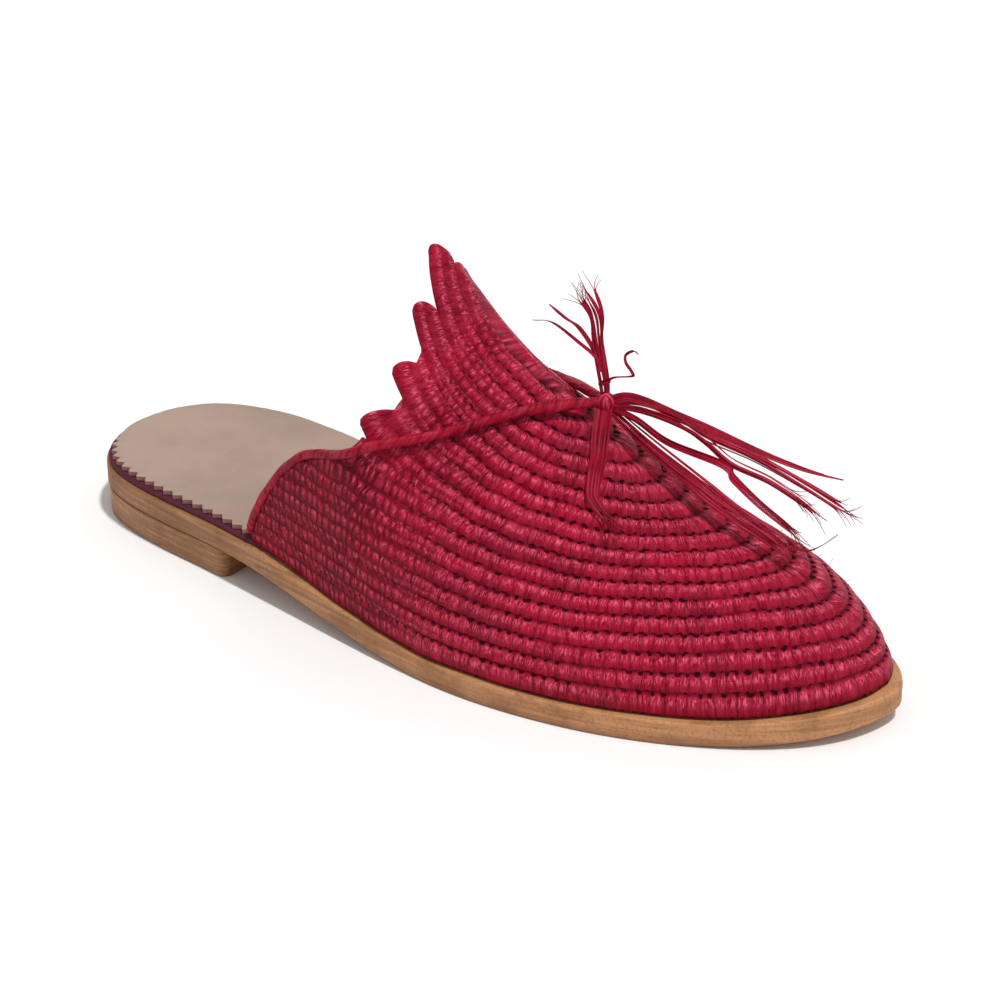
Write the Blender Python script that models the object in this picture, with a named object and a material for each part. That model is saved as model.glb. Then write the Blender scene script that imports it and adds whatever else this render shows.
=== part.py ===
"""Coiled raffia babouche for the right foot: a backless slipper with a stepped crown over the instep.

Units: sizes are named in millimetres and turned into metres when a mesh is made.
Axes: X from heel to toe, Y towards the inner side of the foot, Z up from the floor.
The origin lies on the floor under the middle of the heel. Stations along the sole are counted from
the back end of the heel, so a mesh is moved back by HEEL_MIDDLE when it is made.
"""

import math

import bmesh
import bpy
import numpy as np

# Main sizes, millimetres
LENGTH = 268.0            # sole, heel to toe
BALL_WIDTH = 93.0         # sole across the ball
HEEL_MIDDLE = 0.135 * LENGTH
HEEL_RISE = 9.5           # underside of the sole above the floor at the heel
OUTSOLE = 7.0             # sole leather
RAND = 1.2                # dyed layer between sole and insole
INSOLE = 1.5              # insole leather
INSTEP = 52.5             # ridge of the upper above its foot line, at the knot
GAP = 0.3                 # between pieces that rest on each other

# Upper
WALL = 2.6                # coil from its inner face to the mean outer face
RELIEF = 0.75             # how far a row's middle and its edge stand out or in
UPPER_INSET = 1.6         # foot line of the upper, in from the edge of the sole
ROWS = 17                 # coil rows from the sole to the innermost loop
RIDGE_ROUND = 8.0         # radius with which a row turns over the ridge
STEPS_ALONG = 24          # mesh steps along one leg of a row, up to the fan
CROWDING = 1.7            # power with which the steps crowd towards the toe

# Sole and heel
SOLE_TOP_ROUND = 0.7
SOLE_BOTTOM_ROUND = 1.1
TOE_SPRING = 4.2
HEEL_BLOCK_LENGTH = 67.0
HEEL_BLOCK_TAPER = 1.2    # foot of the block, in from its top
HEEL_BLOCK_INSET = 0.3    # top of the block, in from the edge of the sole
HEEL_FOOT_ROUND = 1.0
BREAST_ROUND = 2.0        # rounded corners of the heel's front
BREAST_SHARE = 0.92       # width of the breast, over the width just behind it
CORNER_SHARE = 0.4        # where the corner's round begins, over BREAST_ROUND
RAND_INSET = 0.9
INSOLE_INSET = 1.9
PINKED_END = 2.0          # pinked edge stops short of the quarter's cord
PINKED_SHARE = 0.375      # length of the pinked edge on one side, over LENGTH
TOOTH_PITCH = 4.8         # pinked edge of the insole, on the outer side
TOOTH_DEPTH = 2.0
TOE_CENTRE = 0.72         # middle of the toe's round, over LENGTH
TOE_CLEARANCE = 3.8       # insole further in at the toe, where the wall leans

# Cord, knot and tassel
CORD = 3.0                # diameter
KNOT_RADIUS = 4.6
KNOT_LIFT = 8.6           # knot's middle above the ridge
KNOT_FLATTEN = 0.9        # knot's height over its width
LOCK_THICK = 1.6          # a bundle of flat strips

# Sole edge: station and half widths, as shares of LENGTH and BALL_WIDTH
OUTLINE = (
    # station, outer side, inner side
    (0.0000, 0.000, 0.000),
    (0.0075, 0.107, 0.124),
    (0.0224, 0.188, 0.210),
    (0.0485, 0.263, 0.290),
    (0.0896, 0.317, 0.344),
    (0.1493, 0.358, 0.371),
    (0.2164, 0.390, 0.355),
    (0.2836, 0.427, 0.328),
    (0.3545, 0.468, 0.312),
    (0.4291, 0.512, 0.318),
    (0.5037, 0.553, 0.347),
    (0.5784, 0.583, 0.383),
    (0.6418, 0.588, 0.409),
    (0.7090, 0.570, 0.419),
    (0.7687, 0.535, 0.409),
    (0.8284, 0.478, 0.376),
    (0.8843, 0.403, 0.317),
    (0.9328, 0.312, 0.242),
    (0.9664, 0.220, 0.161),
    (0.9888, 0.118, 0.081),
    (1.0000, 0.000, 0.000),
)

# Underside of the sole: station as a share of LENGTH, then shares of HEEL_RISE and of TOE_SPRING
UNDERSIDE = (
    # station, heel share, toe share
    (0.000, 1.00, 0.00),
    (0.224, 1.00, 0.00),
    (0.280, 0.95, 0.00),
    (0.354, 0.70, 0.00),
    (0.429, 0.38, 0.00),
    (0.504, 0.13, 0.00),
    (0.567, 0.00, 0.00),
    (0.802, 0.00, 0.00),
    (0.877, 0.00, 0.14),
    (0.940, 0.00, 0.48),
    (1.000, 0.00, 1.00),
)

# Sections of the upper: station over LENGTH, half widths over BALL_WIDTH, ridge height over INSTEP,
# ridge offset over BALL_WIDTH, and the two powers of the section's curve
SECTIONS = (
    # station, outer, inner, ridge, offset, power across, power up
    (0.2836, 0.412, 0.302, 1.86, 0.000, 1.20, 2.70),
    (0.3731, 0.462, 0.297, 1.86, 0.000, 1.20, 2.70),
    (0.4422, 0.508, 0.315, 1.86, 0.011, 1.20, 2.70),
    (0.4478, 0.511, 0.319, 1.82, 0.011, 1.20, 2.70),
    (0.4590, 0.517, 0.324, 1.72, 0.011, 1.20, 2.60),
    (0.4776, 0.529, 0.333, 1.61, 0.016, 1.22, 2.50),
    (0.5000, 0.542, 0.346, 1.48, 0.022, 1.25, 2.40),
    (0.5299, 0.556, 0.363, 1.345, 0.027, 1.30, 2.30),
    (0.5597, 0.568, 0.378, 1.23, 0.032, 1.40, 2.20),
    (0.5970, 0.575, 0.396, 1.12, 0.032, 1.50, 2.10),
    (0.6418, 0.576, 0.406, 1.00, 0.032, 1.60, 2.05),
    (0.7015, 0.561, 0.411, 0.83, 0.032, 1.70, 2.00),
    (0.7612, 0.525, 0.400, 0.69, 0.027, 1.80, 2.00),
    (0.8134, 0.473, 0.371, 0.61, 0.022, 1.90, 2.00),
    (0.8582, 0.419, 0.328, 0.545, 0.016, 2.00, 2.00),
    (0.8955, 0.358, 0.280, 0.46, 0.011, 2.00, 2.00),
    (0.9291, 0.285, 0.215, 0.357, 0.005, 2.00, 2.00),
    (0.9552, 0.212, 0.156, 0.240, 0.000, 2.00, 2.00),
    (0.9739, 0.140, 0.097, 0.122, 0.000, 2.00, 2.00),
    (0.9843, 0.075, 0.054, 0.045, 0.000, 2.00, 2.00),
    (0.9888, 0.000, 0.000, 0.004, 0.000, 2.00, 2.00),
)

# Where the line above each row crosses the ridge, as a share of LENGTH, from the toe to the innermost loop
NOSES = (
    0.9888, 0.9776, 0.9664, 0.9515, 0.9328, 0.9142, 0.8900, 0.8657, 0.8433,
    0.8172, 0.7892, 0.7612, 0.7369, 0.7108, 0.6828, 0.6530, 0.6213, 0.5840,
)

# Rear edge of the quarters, up to the crown's outermost fingers: line of the coil, then station over LENGTH
OUTER_QUARTER = ((0, 0.2980), (1, 0.3046), (2, 0.3124), (3, 0.3244), (4, 0.3366), (5, 0.3521), (5.5, 0.3610),
                 (6, 0.3770), (6.5, 0.3980), (7, 0.4285), (7.5, 0.4480), (8, 0.4540), (9, 0.4670),
                 (10, 0.4757), (17, 0.4757))
INNER_QUARTER = ((0, 0.2980), (1, 0.3020), (2, 0.3098), (3, 0.3190), (4, 0.3300), (5, 0.3424), (6, 0.3589),
                 (7, 0.3773), (8, 0.3990), (8.5, 0.4140), (9, 0.4315), (9.5, 0.4460), (10, 0.4550),
                 (11, 0.4670), (12, 0.4757), (17, 0.4757))

# How the rows climb each side, from the toe to the quarters: station over LENGTH, share of the climb
# that is even, share that crowds to the ridge, share by which the upper rows fan up into the crown,
# then the row where the fan starts, how many rows it takes to open, and the ridge's round
OUTER_CLIMB = (
    # station, even, crowded, fan, first row, rows, round
    (0.2910, 0.86, 0.02, 0.300, 6, 6, 0.0),
    (0.4410, 0.86, 0.02, 0.240, 6, 6, 0.0),
    (0.4552, 0.86, 0.02, 0.200, 6, 6, 0.0),
    (0.4757, 0.89, 0.01, 0.126, 6, 6, 0.0),
    (0.5037, 0.92, 0.01, 0.060, 6, 6, 0.0),
    (0.5410, 0.96, 0.00, 0.014, 6, 6, 0.0),
    (0.5970, 1.00, 0.00, 0.000, 6, 6, 0.6),
    (0.6343, 0.98, 0.02, 0.000, 6, 6, 1.0),
    (0.7276, 0.92, 0.08, 0.000, 6, 6, 1.0),
    (1.0000, 0.92, 0.08, 0.000, 6, 6, 1.0),
)
INNER_CLIMB = (
    # station, even, crowded, fan, first row, rows, round
    (0.2910, 0.82, 0.00, 0.100, 8, 5, 0.0),
    (0.4410, 0.82, 0.00, 0.095, 8, 5, 0.0),
    (0.4552, 0.83, 0.00, 0.090, 8, 5, 0.0),
    (0.4757, 0.87, 0.00, 0.060, 8, 5, 0.0),
    (0.5037, 0.92, 0.00, 0.025, 8, 5, 0.0),
    (0.5410, 0.97, 0.00, 0.000, 8, 5, 0.0),
    (0.5970, 1.00, 0.00, 0.000, 8, 5, 0.6),
    (0.6343, 0.98, 0.02, 0.000, 8, 5, 1.0),
    (0.7276, 0.92, 0.08, 0.000, 8, 5, 1.0),
    (1.0000, 0.92, 0.08, 0.000, 8, 5, 1.0),
)

# Fingers of the crown: the line under the finger, mesh steps past its root, and the stations
# over LENGTH at which its lower side, its tip and the notch above it end
OUTER_FINGERS = (
    # line, steps, side, tip, notch
    (8, 1, 0.4526, 0.4575, 0.4720),
    (10, 3, 0.4575, 0.4612, 0.4715),
    (12, 5, 0.4537, 0.4570, 0.4687),
    (14, 7, 0.4437, 0.4450, 0.4600),
    (16, 7, 0.4575, 0.4530, 0.4530),
)
INNER_FINGERS = (
    (10, 1, 0.4540, 0.4570, 0.4720),
    (12, 3, 0.4560, 0.4590, 0.4715),
    (14, 5, 0.4540, 0.4570, 0.4687),
    (16, 7, 0.4575, 0.4530, 0.4530),
)

# Cord of each side: up the quarter's rear edge, then over the coil to the knot. Station over LENGTH,
# share of the way up the section, and how far its middle stands off the mean outer face, millimetres
OUTER_CORD = (
    # station, climb, stand-off
    (0.2905, 0.022, -0.9),
    (0.2952, 0.055, -0.9),
    (0.3035, 0.098, -0.9),
    (0.3135, 0.145, -0.9),
    (0.3270, 0.195, -0.9),
    (0.3400, 0.243, -0.9),
    (0.3552, 0.285, -0.9),
    (0.3720, 0.322, -0.9),
    (0.3899, 0.352, -0.9),
    (0.4060, 0.376, -0.8),
    (0.4200, 0.396, 0.3),
    (0.4320, 0.410, 1.9),
    (0.4450, 0.426, 2.6),
    (0.4620, 0.460, 2.3),
    (0.4869, 0.522, 2.3),
    (0.5114, 0.590, 2.3),
    (0.5368, 0.676, 2.3),
    (0.5608, 0.770, 2.4),
    (0.5790, 0.849, 3.0),
    (0.5980, 0.915, 3.6),
)
INNER_CORD = (
    # station, climb, stand-off
    (0.2905, 0.022, -0.9),
    (0.2952, 0.058, -0.9),
    (0.3035, 0.105, -0.9),
    (0.3135, 0.155, -0.9),
    (0.3270, 0.210, -0.9),
    (0.3400, 0.258, -0.9),
    (0.3552, 0.300, -0.9),
    (0.3720, 0.348, -0.9),
    (0.3899, 0.392, -0.9),
    (0.4060, 0.425, -0.8),
    (0.4200, 0.456, 0.3),
    (0.4320, 0.478, 1.9),
    (0.4450, 0.500, 2.6),
    (0.4620, 0.528, 2.3),
    (0.4869, 0.580, 2.3),
    (0.5114, 0.640, 2.3),
    (0.5368, 0.712, 2.3),
    (0.5608, 0.790, 2.4),
    (0.5790, 0.855, 3.0),
    (0.5980, 0.915, 3.6),
)
KNOT_STATION = 0.6437
CORD_SIDES = 6

# Locks of the tassel: width at the root, middle and end, then points as forward, inward and
# upward distances from the knot's middle, millimetres
LOCKS = {
    "up_front": ((4.4, 3.8, 1.4), ((0, 0, 0), (-2, 1, 8), (-4, 1, 17), (-5, 1, 24), (-9, 1, 30))),
    "up_back": ((3.6, 3.2, 1.2), ((0, 0, 0), (-4, 2, 11), (-9, 3, 17), (-14, 3, 20), (-22, 3, 20))),
    "long_one": ((4.2, 3.4, 1.4), ((0, 0, 0), (11, 3, 3), (28, 8, -3), (44, 13, -10), (64, 20, -16))),
    "long_two": ((4.2, 4.6, 1.8), ((0, 0, 0), (20, 4, -1), (40, 9, -8), (53, 12, -14), (65, 15, -20))),
    "long_three": ((3.8, 4.0, 1.8), ((0, 0, 0), (18, 2, -2), (36, 5, -10), (47, 7, -13), (60, 10, -23))),
    "long_four": ((3.8, 3.6, 1.6), ((0, 0, 0), (10, 0, -2), (20, 1, -7), (40, 2, -14), (60, 3, -29))),
    "broad": ((4.6, 6.4, 3.4), ((0, 0, 0), (10, 0, -5), (24, -1, -13), (38, -2, -21), (56, -4, -29))),
}
# The lock that hangs down the outer side: station over LENGTH, climb and stand-off
HANGING = (
    (0.6437, 0.960, 6.4),
    (0.6500, 0.915, 3.2),
    (0.6600, 0.860, 2.2),
    (0.6680, 0.790, 2.2),
    (0.6780, 0.720, 2.2),
    (0.6940, 0.690, 2.2),
    (0.7050, 0.678, 2.2),
)
HANGING_WIDTHS = (4.6, 4.6, 2.4)

# Looks: base colour, roughness
FINISHES = {
    "sole_leather": ((0.42, 0.24, 0.12, 1.0), 0.55),
    "dyed_leather": ((0.10, 0.012, 0.030, 1.0), 0.60),
    "insole_leather": ((0.50, 0.36, 0.28, 1.0), 0.60),
    "raffia": ((0.28, 0.008, 0.028, 1.0), 0.45),
}


def through(x, table, column):
    """Smooth curve through one column of a table, which never swings past its own points."""
    xs = np.array([row[0] for row in table], float)
    ys = np.array([row[column] for row in table], float)
    x = np.asarray(x, float)
    step = np.diff(xs)
    slope = np.diff(ys) / step
    bend = np.empty_like(ys)
    bend[0] = slope[0]
    bend[-1] = slope[-1]
    before, after = slope[:-1], slope[1:]
    same = before * after > 0
    short, long = 2 * step[1:] + step[:-1], step[1:] + 2 * step[:-1]
    mix = np.where(same, short * after + long * before, 1.0)
    bend[1:-1] = np.where(same, 3 * (step[:-1] + step[1:]) * before * after / mix, 0.0)
    i = np.clip(np.searchsorted(xs, x) - 1, 0, len(step) - 1)
    t = np.clip((x - xs[i]) / step[i], 0, 1)
    return (ys[i] * (1 + 2 * t) * (1 - t) ** 2 + step[i] * bend[i] * t * (1 - t) ** 2
            + ys[i + 1] * t * t * (3 - 2 * t) + step[i] * bend[i + 1] * t * t * (t - 1))


def underside(x):
    """Height of the sole's underside over the floor at station x."""
    share = np.asarray(x) / LENGTH
    return HEEL_RISE * through(share, UNDERSIDE, 1) + TOE_SPRING * through(share, UNDERSIDE, 2)


def foot_line(x):
    """Height at which the upper stands: on the rand, which lies on the sole."""
    return underside(x) + OUTSOLE + GAP + RAND + GAP


def closed_curve(points, parts):
    """Closed smooth curve through the points, with so many parts between each two."""
    p = np.array(points, float)
    p0, p2, p3 = np.roll(p, 1, axis=0), np.roll(p, -1, axis=0), np.roll(p, -2, axis=0)
    t = (np.arange(parts) / parts)[None, :, None]
    a, b, c, d = p0[:, None], p[:, None], p2[:, None], p3[:, None]
    curve = 0.5 * (2 * b + (c - a) * t + (2 * a - 5 * b + 4 * c - d) * t ** 2
                   + (3 * b - a - 3 * c + d) * t ** 3)
    return curve.reshape(-1, 2)


def sole_edge(parts):
    """Sole outline: from the back of the heel along the outer side to the toe, back along the inner."""
    outer = [(s * LENGTH, -o * BALL_WIDTH) for s, o, _ in OUTLINE]
    inner = [(s * LENGTH, i * BALL_WIDTH) for s, _, i in reversed(OUTLINE[1:-1])]
    return closed_curve(outer + inner, parts)


def moved_in(ring, distance):
    """The ring's points moved towards its inside, square to the outline."""
    along = np.roll(ring, -1, axis=0) - np.roll(ring, 1, axis=0)
    along /= np.linalg.norm(along, axis=1)[:, None]
    inward = np.c_[-along[:, 1], along[:, 0]]
    return ring + inward * np.asarray(distance).reshape(-1, 1)


def make_object(name, vertices, faces, finish):
    """Mesh object from points in millimetres, welded, with its faces outwards and smooth curves."""
    mesh = bpy.data.meshes.new(name)
    places = (np.asarray(vertices) - (HEEL_MIDDLE, 0, 0)) * 0.001
    mesh.from_pydata([tuple(v) for v in places], [], [tuple(map(int, f)) for f in faces])
    grid = bmesh.new()
    grid.from_mesh(mesh)
    bmesh.ops.remove_doubles(grid, verts=grid.verts, dist=0.00001)
    bmesh.ops.recalc_face_normals(grid, faces=grid.faces)
    grid.to_mesh(mesh)
    grid.free()
    mesh.shade_smooth()
    mesh.set_sharp_from_angle(angle=math.radians(40))
    mesh.materials.append(material(finish))
    piece = bpy.data.objects.new(name, mesh)
    bpy.context.scene.collection.objects.link(piece)
    return piece


def material(name):
    """One material for each finish."""
    known = bpy.data.materials.get(name)
    if known:
        return known
    colour, roughness = FINISHES[name]
    made = bpy.data.materials.new(name)
    made.use_nodes = True
    shader = made.node_tree.nodes["Principled BSDF"]
    shader.inputs["Base Color"].default_value = colour
    shader.inputs["Roughness"].default_value = roughness
    shader.inputs["Metallic"].default_value = 0.0
    return made


def plate(name, layers, finish):
    """Solid of stacked rings, bottom first. Each cap is a row of strips between the two sides."""
    count = len(layers[0])
    half = count // 2
    vertices = np.vstack(layers)
    faces = []
    for level in range(len(layers) - 1):
        low, high = level * count, (level + 1) * count
        for i in range(count):
            j = (i + 1) % count
            faces.append((low + i, low + j, high + j, high + i))
    for base, turn in ((0, -1), ((len(layers) - 1) * count, 1)):
        for i in range(half):
            strip = [base + i, base + i + 1, base + (count - i - 1) % count, base + (count - i) % count]
            strip = list(dict.fromkeys(strip))
            faces.append(strip[::turn])
    return make_object(name, vertices, faces, finish)


def with_height(ring, height):
    """Ring of plan points given a height, a number or one for each point."""
    return np.c_[ring, np.broadcast_to(height, len(ring))]


def make_outsole():
    """Sole leather with its arch and toe spring, its edge rounded at the top and the bottom."""
    edge = sole_edge(3)
    low = underside(edge[:, 0])
    in_bottom = moved_in(edge, SOLE_BOTTOM_ROUND)
    in_top = moved_in(edge, SOLE_TOP_ROUND)
    return plate("outsole", [
        with_height(in_bottom, underside(in_bottom[:, 0])),
        with_height(edge, low + SOLE_BOTTOM_ROUND),
        with_height(edge, low + OUTSOLE - SOLE_TOP_ROUND),
        with_height(in_top, underside(in_top[:, 0]) + OUTSOLE),
    ], "sole_leather")


def make_heel_block():
    """Leather heel under the back of the sole, narrower at the floor, with a straight breast."""
    edge = sole_edge(3)
    half = len(edge) // 2
    limit = HEEL_BLOCK_LENGTH - BREAST_ROUND
    count = min(int((side[:half, 0] < limit).sum()) for side in (edge, np.roll(edge[::-1], 1, axis=0)))

    def ring_at(inset):
        """Ring of the block that far in from the edge of the sole, its breast where it is."""
        moved = moved_in(edge, inset)
        halves = []
        for side in (moved, np.roll(moved[::-1], 1, axis=0)):
            last = side[count - 1]
            corner = (HEEL_BLOCK_LENGTH - BREAST_ROUND * CORNER_SHARE, last[1])
            breast = (HEEL_BLOCK_LENGTH, last[1] * BREAST_SHARE)
            halves.append(np.vstack([side[:count], corner, breast]))
        return np.vstack([halves[0], halves[1][:0:-1]])

    top = ring_at(HEEL_BLOCK_INSET)
    low = ring_at(HEEL_BLOCK_INSET + HEEL_BLOCK_TAPER)
    foot = ring_at(HEEL_BLOCK_INSET + HEEL_BLOCK_TAPER + HEEL_FOOT_ROUND)
    return plate("heel_block", [
        with_height(foot, 0.0),
        with_height(low, HEEL_FOOT_ROUND),
        with_height(top, underside(top[:, 0]) - GAP),
    ], "sole_leather")


def make_rand():
    """Thin dyed layer on the whole sole, on which the upper and the insole lie."""
    ring = moved_in(sole_edge(2), RAND_INSET)
    low = underside(ring[:, 0]) + OUTSOLE + GAP
    return plate("rand", [with_height(ring, low), with_height(ring, low + RAND)], "dyed_leather")


def make_insole():
    """Insole pinked along the outer side of the heel, and inside the upper's wall from the quarters on."""
    edge = sole_edge(8)
    half = len(edge) // 2
    mirror = np.roll(edge[::-1], 1, axis=0)
    end = OUTER_QUARTER[0][1] * LENGTH - CORD - PINKED_END
    wall_room = UPPER_INSET + WALL + RELIEF + 2 * GAP
    toe_centre = TOE_CENTRE * LENGTH
    sides = []
    for ring, turn in ((edge, 1), (mirror, -1)):
        inward = (moved_in(ring, turn) - ring)[:half]
        ring = ring[:half]
        start = int(np.argmax(ring[:, 0] > end))
        length = np.r_[0.0, np.cumsum(np.linalg.norm(np.diff(ring[:start], axis=0), axis=1))]
        teeth = int(round(PINKED_SHARE * LENGTH / TOOTH_PITCH))
        share = np.interp(np.linspace(0, length[-1], 2 * teeth + 1), length, np.arange(start))
        depth = INSOLE_INSET + (TOOTH_DEPTH if turn > 0 else 0) * (np.arange(2 * teeth + 1) % 2)
        pinked = np.stack([np.interp(share, np.arange(start), ring[:start, c])
                           + np.interp(share, np.arange(start), inward[:start, c]) * depth
                           for c in (0, 1)], axis=1)
        rest = ring[start + 1::4]
        to_middle = np.c_[np.minimum(toe_centre - rest[:, 0], 0), -rest[:, 1]]
        to_middle /= np.linalg.norm(to_middle, axis=1)[:, None]
        nearing = np.clip(rest[:, 0] / LENGTH - TOE_CENTRE, 0, None) / (1 - TOE_CENTRE)
        room = wall_room + TOE_CLEARANCE * np.minimum(2 * nearing, 1)
        sides.append(np.vstack([pinked, rest + to_middle * room[:, None]]))
    toe = (LENGTH - wall_room - TOE_CLEARANCE, 0)
    count = min(len(side) for side in sides)
    ring = np.vstack([sides[0][:count], toe, sides[1][count - 1:0:-1]])
    low = foot_line(ring[:, 0])
    return plate("insole", [with_height(ring, low), with_height(ring, low + INSOLE)], "insole_leather")


def section_point(x, girth):
    """Point of the upper's mean outer face at station x.

    Each side of a section is y = w cos(a)^(2/p), z = h sin(a)^(2/q) from its foot to the ridge;
    girth runs 0 to 1 up the outer side by length and 1 to 2 down the inner side.
    """
    x = np.asarray(x, float)
    girth = np.broadcast_to(np.asarray(girth, float), x.shape)
    share = x / LENGTH
    outer, inner, ridge, offset, across, up = (through(share, SECTIONS, c) for c in range(1, 7))
    inner_side = girth > 1
    width = np.where(inner_side, inner, outer) * BALL_WIDTH
    angle = np.linspace(0, math.pi / 2, 41)[None, :]
    rise = np.sin(angle) ** (2 / up[:, None])
    sign = np.where(inner_side, 1.0, -1.0)[:, None]
    y = sign * width[:, None] * np.cos(angle) ** (2 / across[:, None]) + offset[:, None] * BALL_WIDTH * rise
    z = ridge[:, None] * INSTEP * rise
    run = np.hypot(np.diff(y, axis=1), np.diff(z, axis=1))
    length = np.concatenate([np.zeros((len(x), 1)), np.cumsum(run, axis=1)], axis=1)
    want = np.where(inner_side, 2 - girth, girth) * length[:, -1]
    i = np.clip((length < want[:, None]).sum(axis=1) - 1, 0, angle.shape[1] - 2)
    row = np.arange(len(x))
    span = np.maximum(length[row, i + 1] - length[row, i], 1e-9)
    t = np.clip((want - length[row, i]) / span, 0, 1)
    y = y[row, i] + (y[row, i + 1] - y[row, i]) * t
    z = z[row, i] + (z[row, i + 1] - z[row, i]) * t
    return np.c_[x, y, z + foot_line(x)], length[:, -1]


def rows_below(x):
    """How many rows lie between the sole and the ridge at station x, as a real number."""
    table = [(-nose, line) for line, nose in enumerate(NOSES)]
    return through(-np.asarray(x, float) / LENGTH, table, 1)


def coil_point(line, x, inner):
    """Point of the coil's mean outer face on a line between rows, at station x, on either side."""
    x = np.asarray(x, float)
    line = np.broadcast_to(np.asarray(line, float), x.shape)
    share = x / LENGTH
    climb = INNER_CLIMB if inner else OUTER_CLIMB
    even, crowded, fan, first, rows, round_share = (through(share, climb, c) for c in range(1, 7))
    half = section_point(x, np.full(x.shape, 2.0 if inner else 0.0))[1]
    other = section_point(x, np.full(x.shape, 0.0 if inner else 2.0))[1]
    level = np.clip(line / np.maximum(rows_below(x), 1e-6), 0, 1)
    opening = np.clip((line - first) / rows, 0, 1)
    level = even * level + crowded * level ** 6 + fan * opening ** 2 * (3 - 2 * opening)
    turn = np.minimum(RIDGE_ROUND * round_share, 0.35 * half)
    whole = np.sqrt(half ** 2 + turn ** 2) - turn
    left = (1 - level) * whole
    to_ridge = np.sign(left) * np.sqrt(left ** 2 + 2 * np.abs(left) * turn)
    past = to_ridge < 0
    girth = np.where(past, 1 - to_ridge / other, 1 - to_ridge / half)
    return section_point(x, 2 - girth if inner else girth)[0]


def finger_steps(line, inner):
    """Mesh steps past the roots of the fingers, of the strip that starts on this line."""
    steps = 0
    for low, count, *_ in (INNER_FINGERS if inner else OUTER_FINGERS):
        if line >= low:
            steps = count
    return steps


def stations(line, inner):
    """Stations of the mesh points along one leg of a line, from the ridge to its free end."""
    nose = np.interp(line, range(ROWS + 1), NOSES)
    quarter = INNER_QUARTER if inner else OUTER_QUARTER
    fingers = INNER_FINGERS if inner else OUTER_FINGERS
    root = float(through(line, quarter, 1))
    leg = nose - (nose - root) * (np.arange(STEPS_ALONG + 1) / STEPS_ALONG) ** CROWDING
    steps, ends = [0], [root]
    for number, (low, count, side, tip, notch) in enumerate(fingers):
        last = number == len(fingers) - 1
        top = ROWS if last else fingers[number + 1][0]
        if line < low:
            break
        across = min((line - low) / (top - low), 1.0)
        if last:
            end = side + (tip - side) * across
        elif across <= 0.5:
            end = side + (tip - side) * (2 * across) ** 2
        else:
            end = tip + (notch - tip) * (2 * across - 1) ** 2
        if count == steps[-1]:
            ends[-1] = end
        else:
            steps.append(count)
            ends.append(end)
    past = np.interp(np.arange(1, steps[-1] + 1), steps, ends)
    return np.r_[leg, past] * LENGTH


def make_upper():
    """Coiled upper: one wall, its rows raised, open at the back, at the throat and underneath."""
    lines = np.arange(0, ROWS + 0.25, 0.5)
    points, index = [], {}
    for inner in (False, True):
        for line in lines:
            legs = stations(line, inner)
            line_points = coil_point(line, legs, inner)
            for step, point in enumerate(line_points):
                shared = inner and (step == 0 or line == ROWS)
                if shared and (False, line, step) in index:
                    index[(inner, line, step)] = index[(False, line, step)]
                    continue
                index[(inner, line, step)] = len(points)
                points.append(tuple(point) + (line,))
    quads = []
    for inner in (False, True):
        for low, high in zip(lines[:-1], lines[1:]):
            for step in range(STEPS_ALONG + finger_steps(low, inner)):
                quad = [index[(inner, low, step)], index[(inner, low, step + 1)],
                        index[(inner, high, step + 1)], index[(inner, high, step)]]
                quads.append(quad if inner else quad[::-1])
    data = np.array(points)
    return make_object("upper", *thick_wall(data[:, :3], np.array(quads), data[:, 3]), "raffia")


def thick_wall(middle, quads, line):
    """Closed wall round an open skin: rows raised outside, smooth inside, edges joined."""
    corners = middle[quads]
    flat = np.cross(corners[:, 2] - corners[:, 0], corners[:, 3] - corners[:, 1])
    normal = np.zeros_like(middle)
    for c in range(4):
        np.add.at(normal, quads[:, c], flat)
    normal[line == 0, 2] = 0.0
    normal /= np.maximum(np.linalg.norm(normal, axis=1), 1e-9)[:, None]
    raised = np.where(np.mod(line, 1.0) == 0.5, RELIEF, -RELIEF) * 0.5
    outside = middle + normal * raised[:, None]
    inside = middle - normal * WALL
    count = len(middle)
    faces = [tuple(q) for q in quads] + [tuple(q[::-1] + count) for q in quads]
    edges = {}
    for q in quads:
        for a, b in zip(q, np.roll(q, -1)):
            edges[(int(a), int(b))] = True
    for a, b in edges:
        if (b, a) not in edges:
            faces.append((b, a, a + count, b + count))
    return np.vstack([outside, inside]), faces


def off_skin(table):
    """Points off the upper's mean outer face, and the face's directions there, for rows of
    station, climb and stand-off."""
    rows = np.array(table)
    x, climb, off = rows[:, 0] * LENGTH, rows[:, 1], rows[:, 2]
    point = section_point(x, climb)[0]
    along = section_point(x + 0.5, climb)[0] - section_point(x - 0.5, climb)[0]
    up = section_point(x, climb + 0.01)[0] - section_point(x, climb - 0.01)[0]
    out = np.cross(along, up)
    out /= np.linalg.norm(out, axis=1)[:, None]
    return point + out * off[:, None], out


def smooth_path(points, parts):
    """Open smooth curve through the points, with so many parts between each two."""
    p = np.array(points, float)
    p = np.vstack([2 * p[0] - p[1], p, 2 * p[-1] - p[-2]])
    t = (np.arange(parts) / parts)[None, :, None]
    a, b, c, d = p[:-3, None], p[1:-2, None], p[2:-1, None], p[3:, None]
    curve = 0.5 * (2 * b + (c - a) * t + (2 * a - 5 * b + 4 * c - d) * t ** 2
                   + (3 * b - a - 3 * c + d) * t ** 3)
    return np.vstack([curve.reshape(-1, 3), p[-2]])


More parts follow.
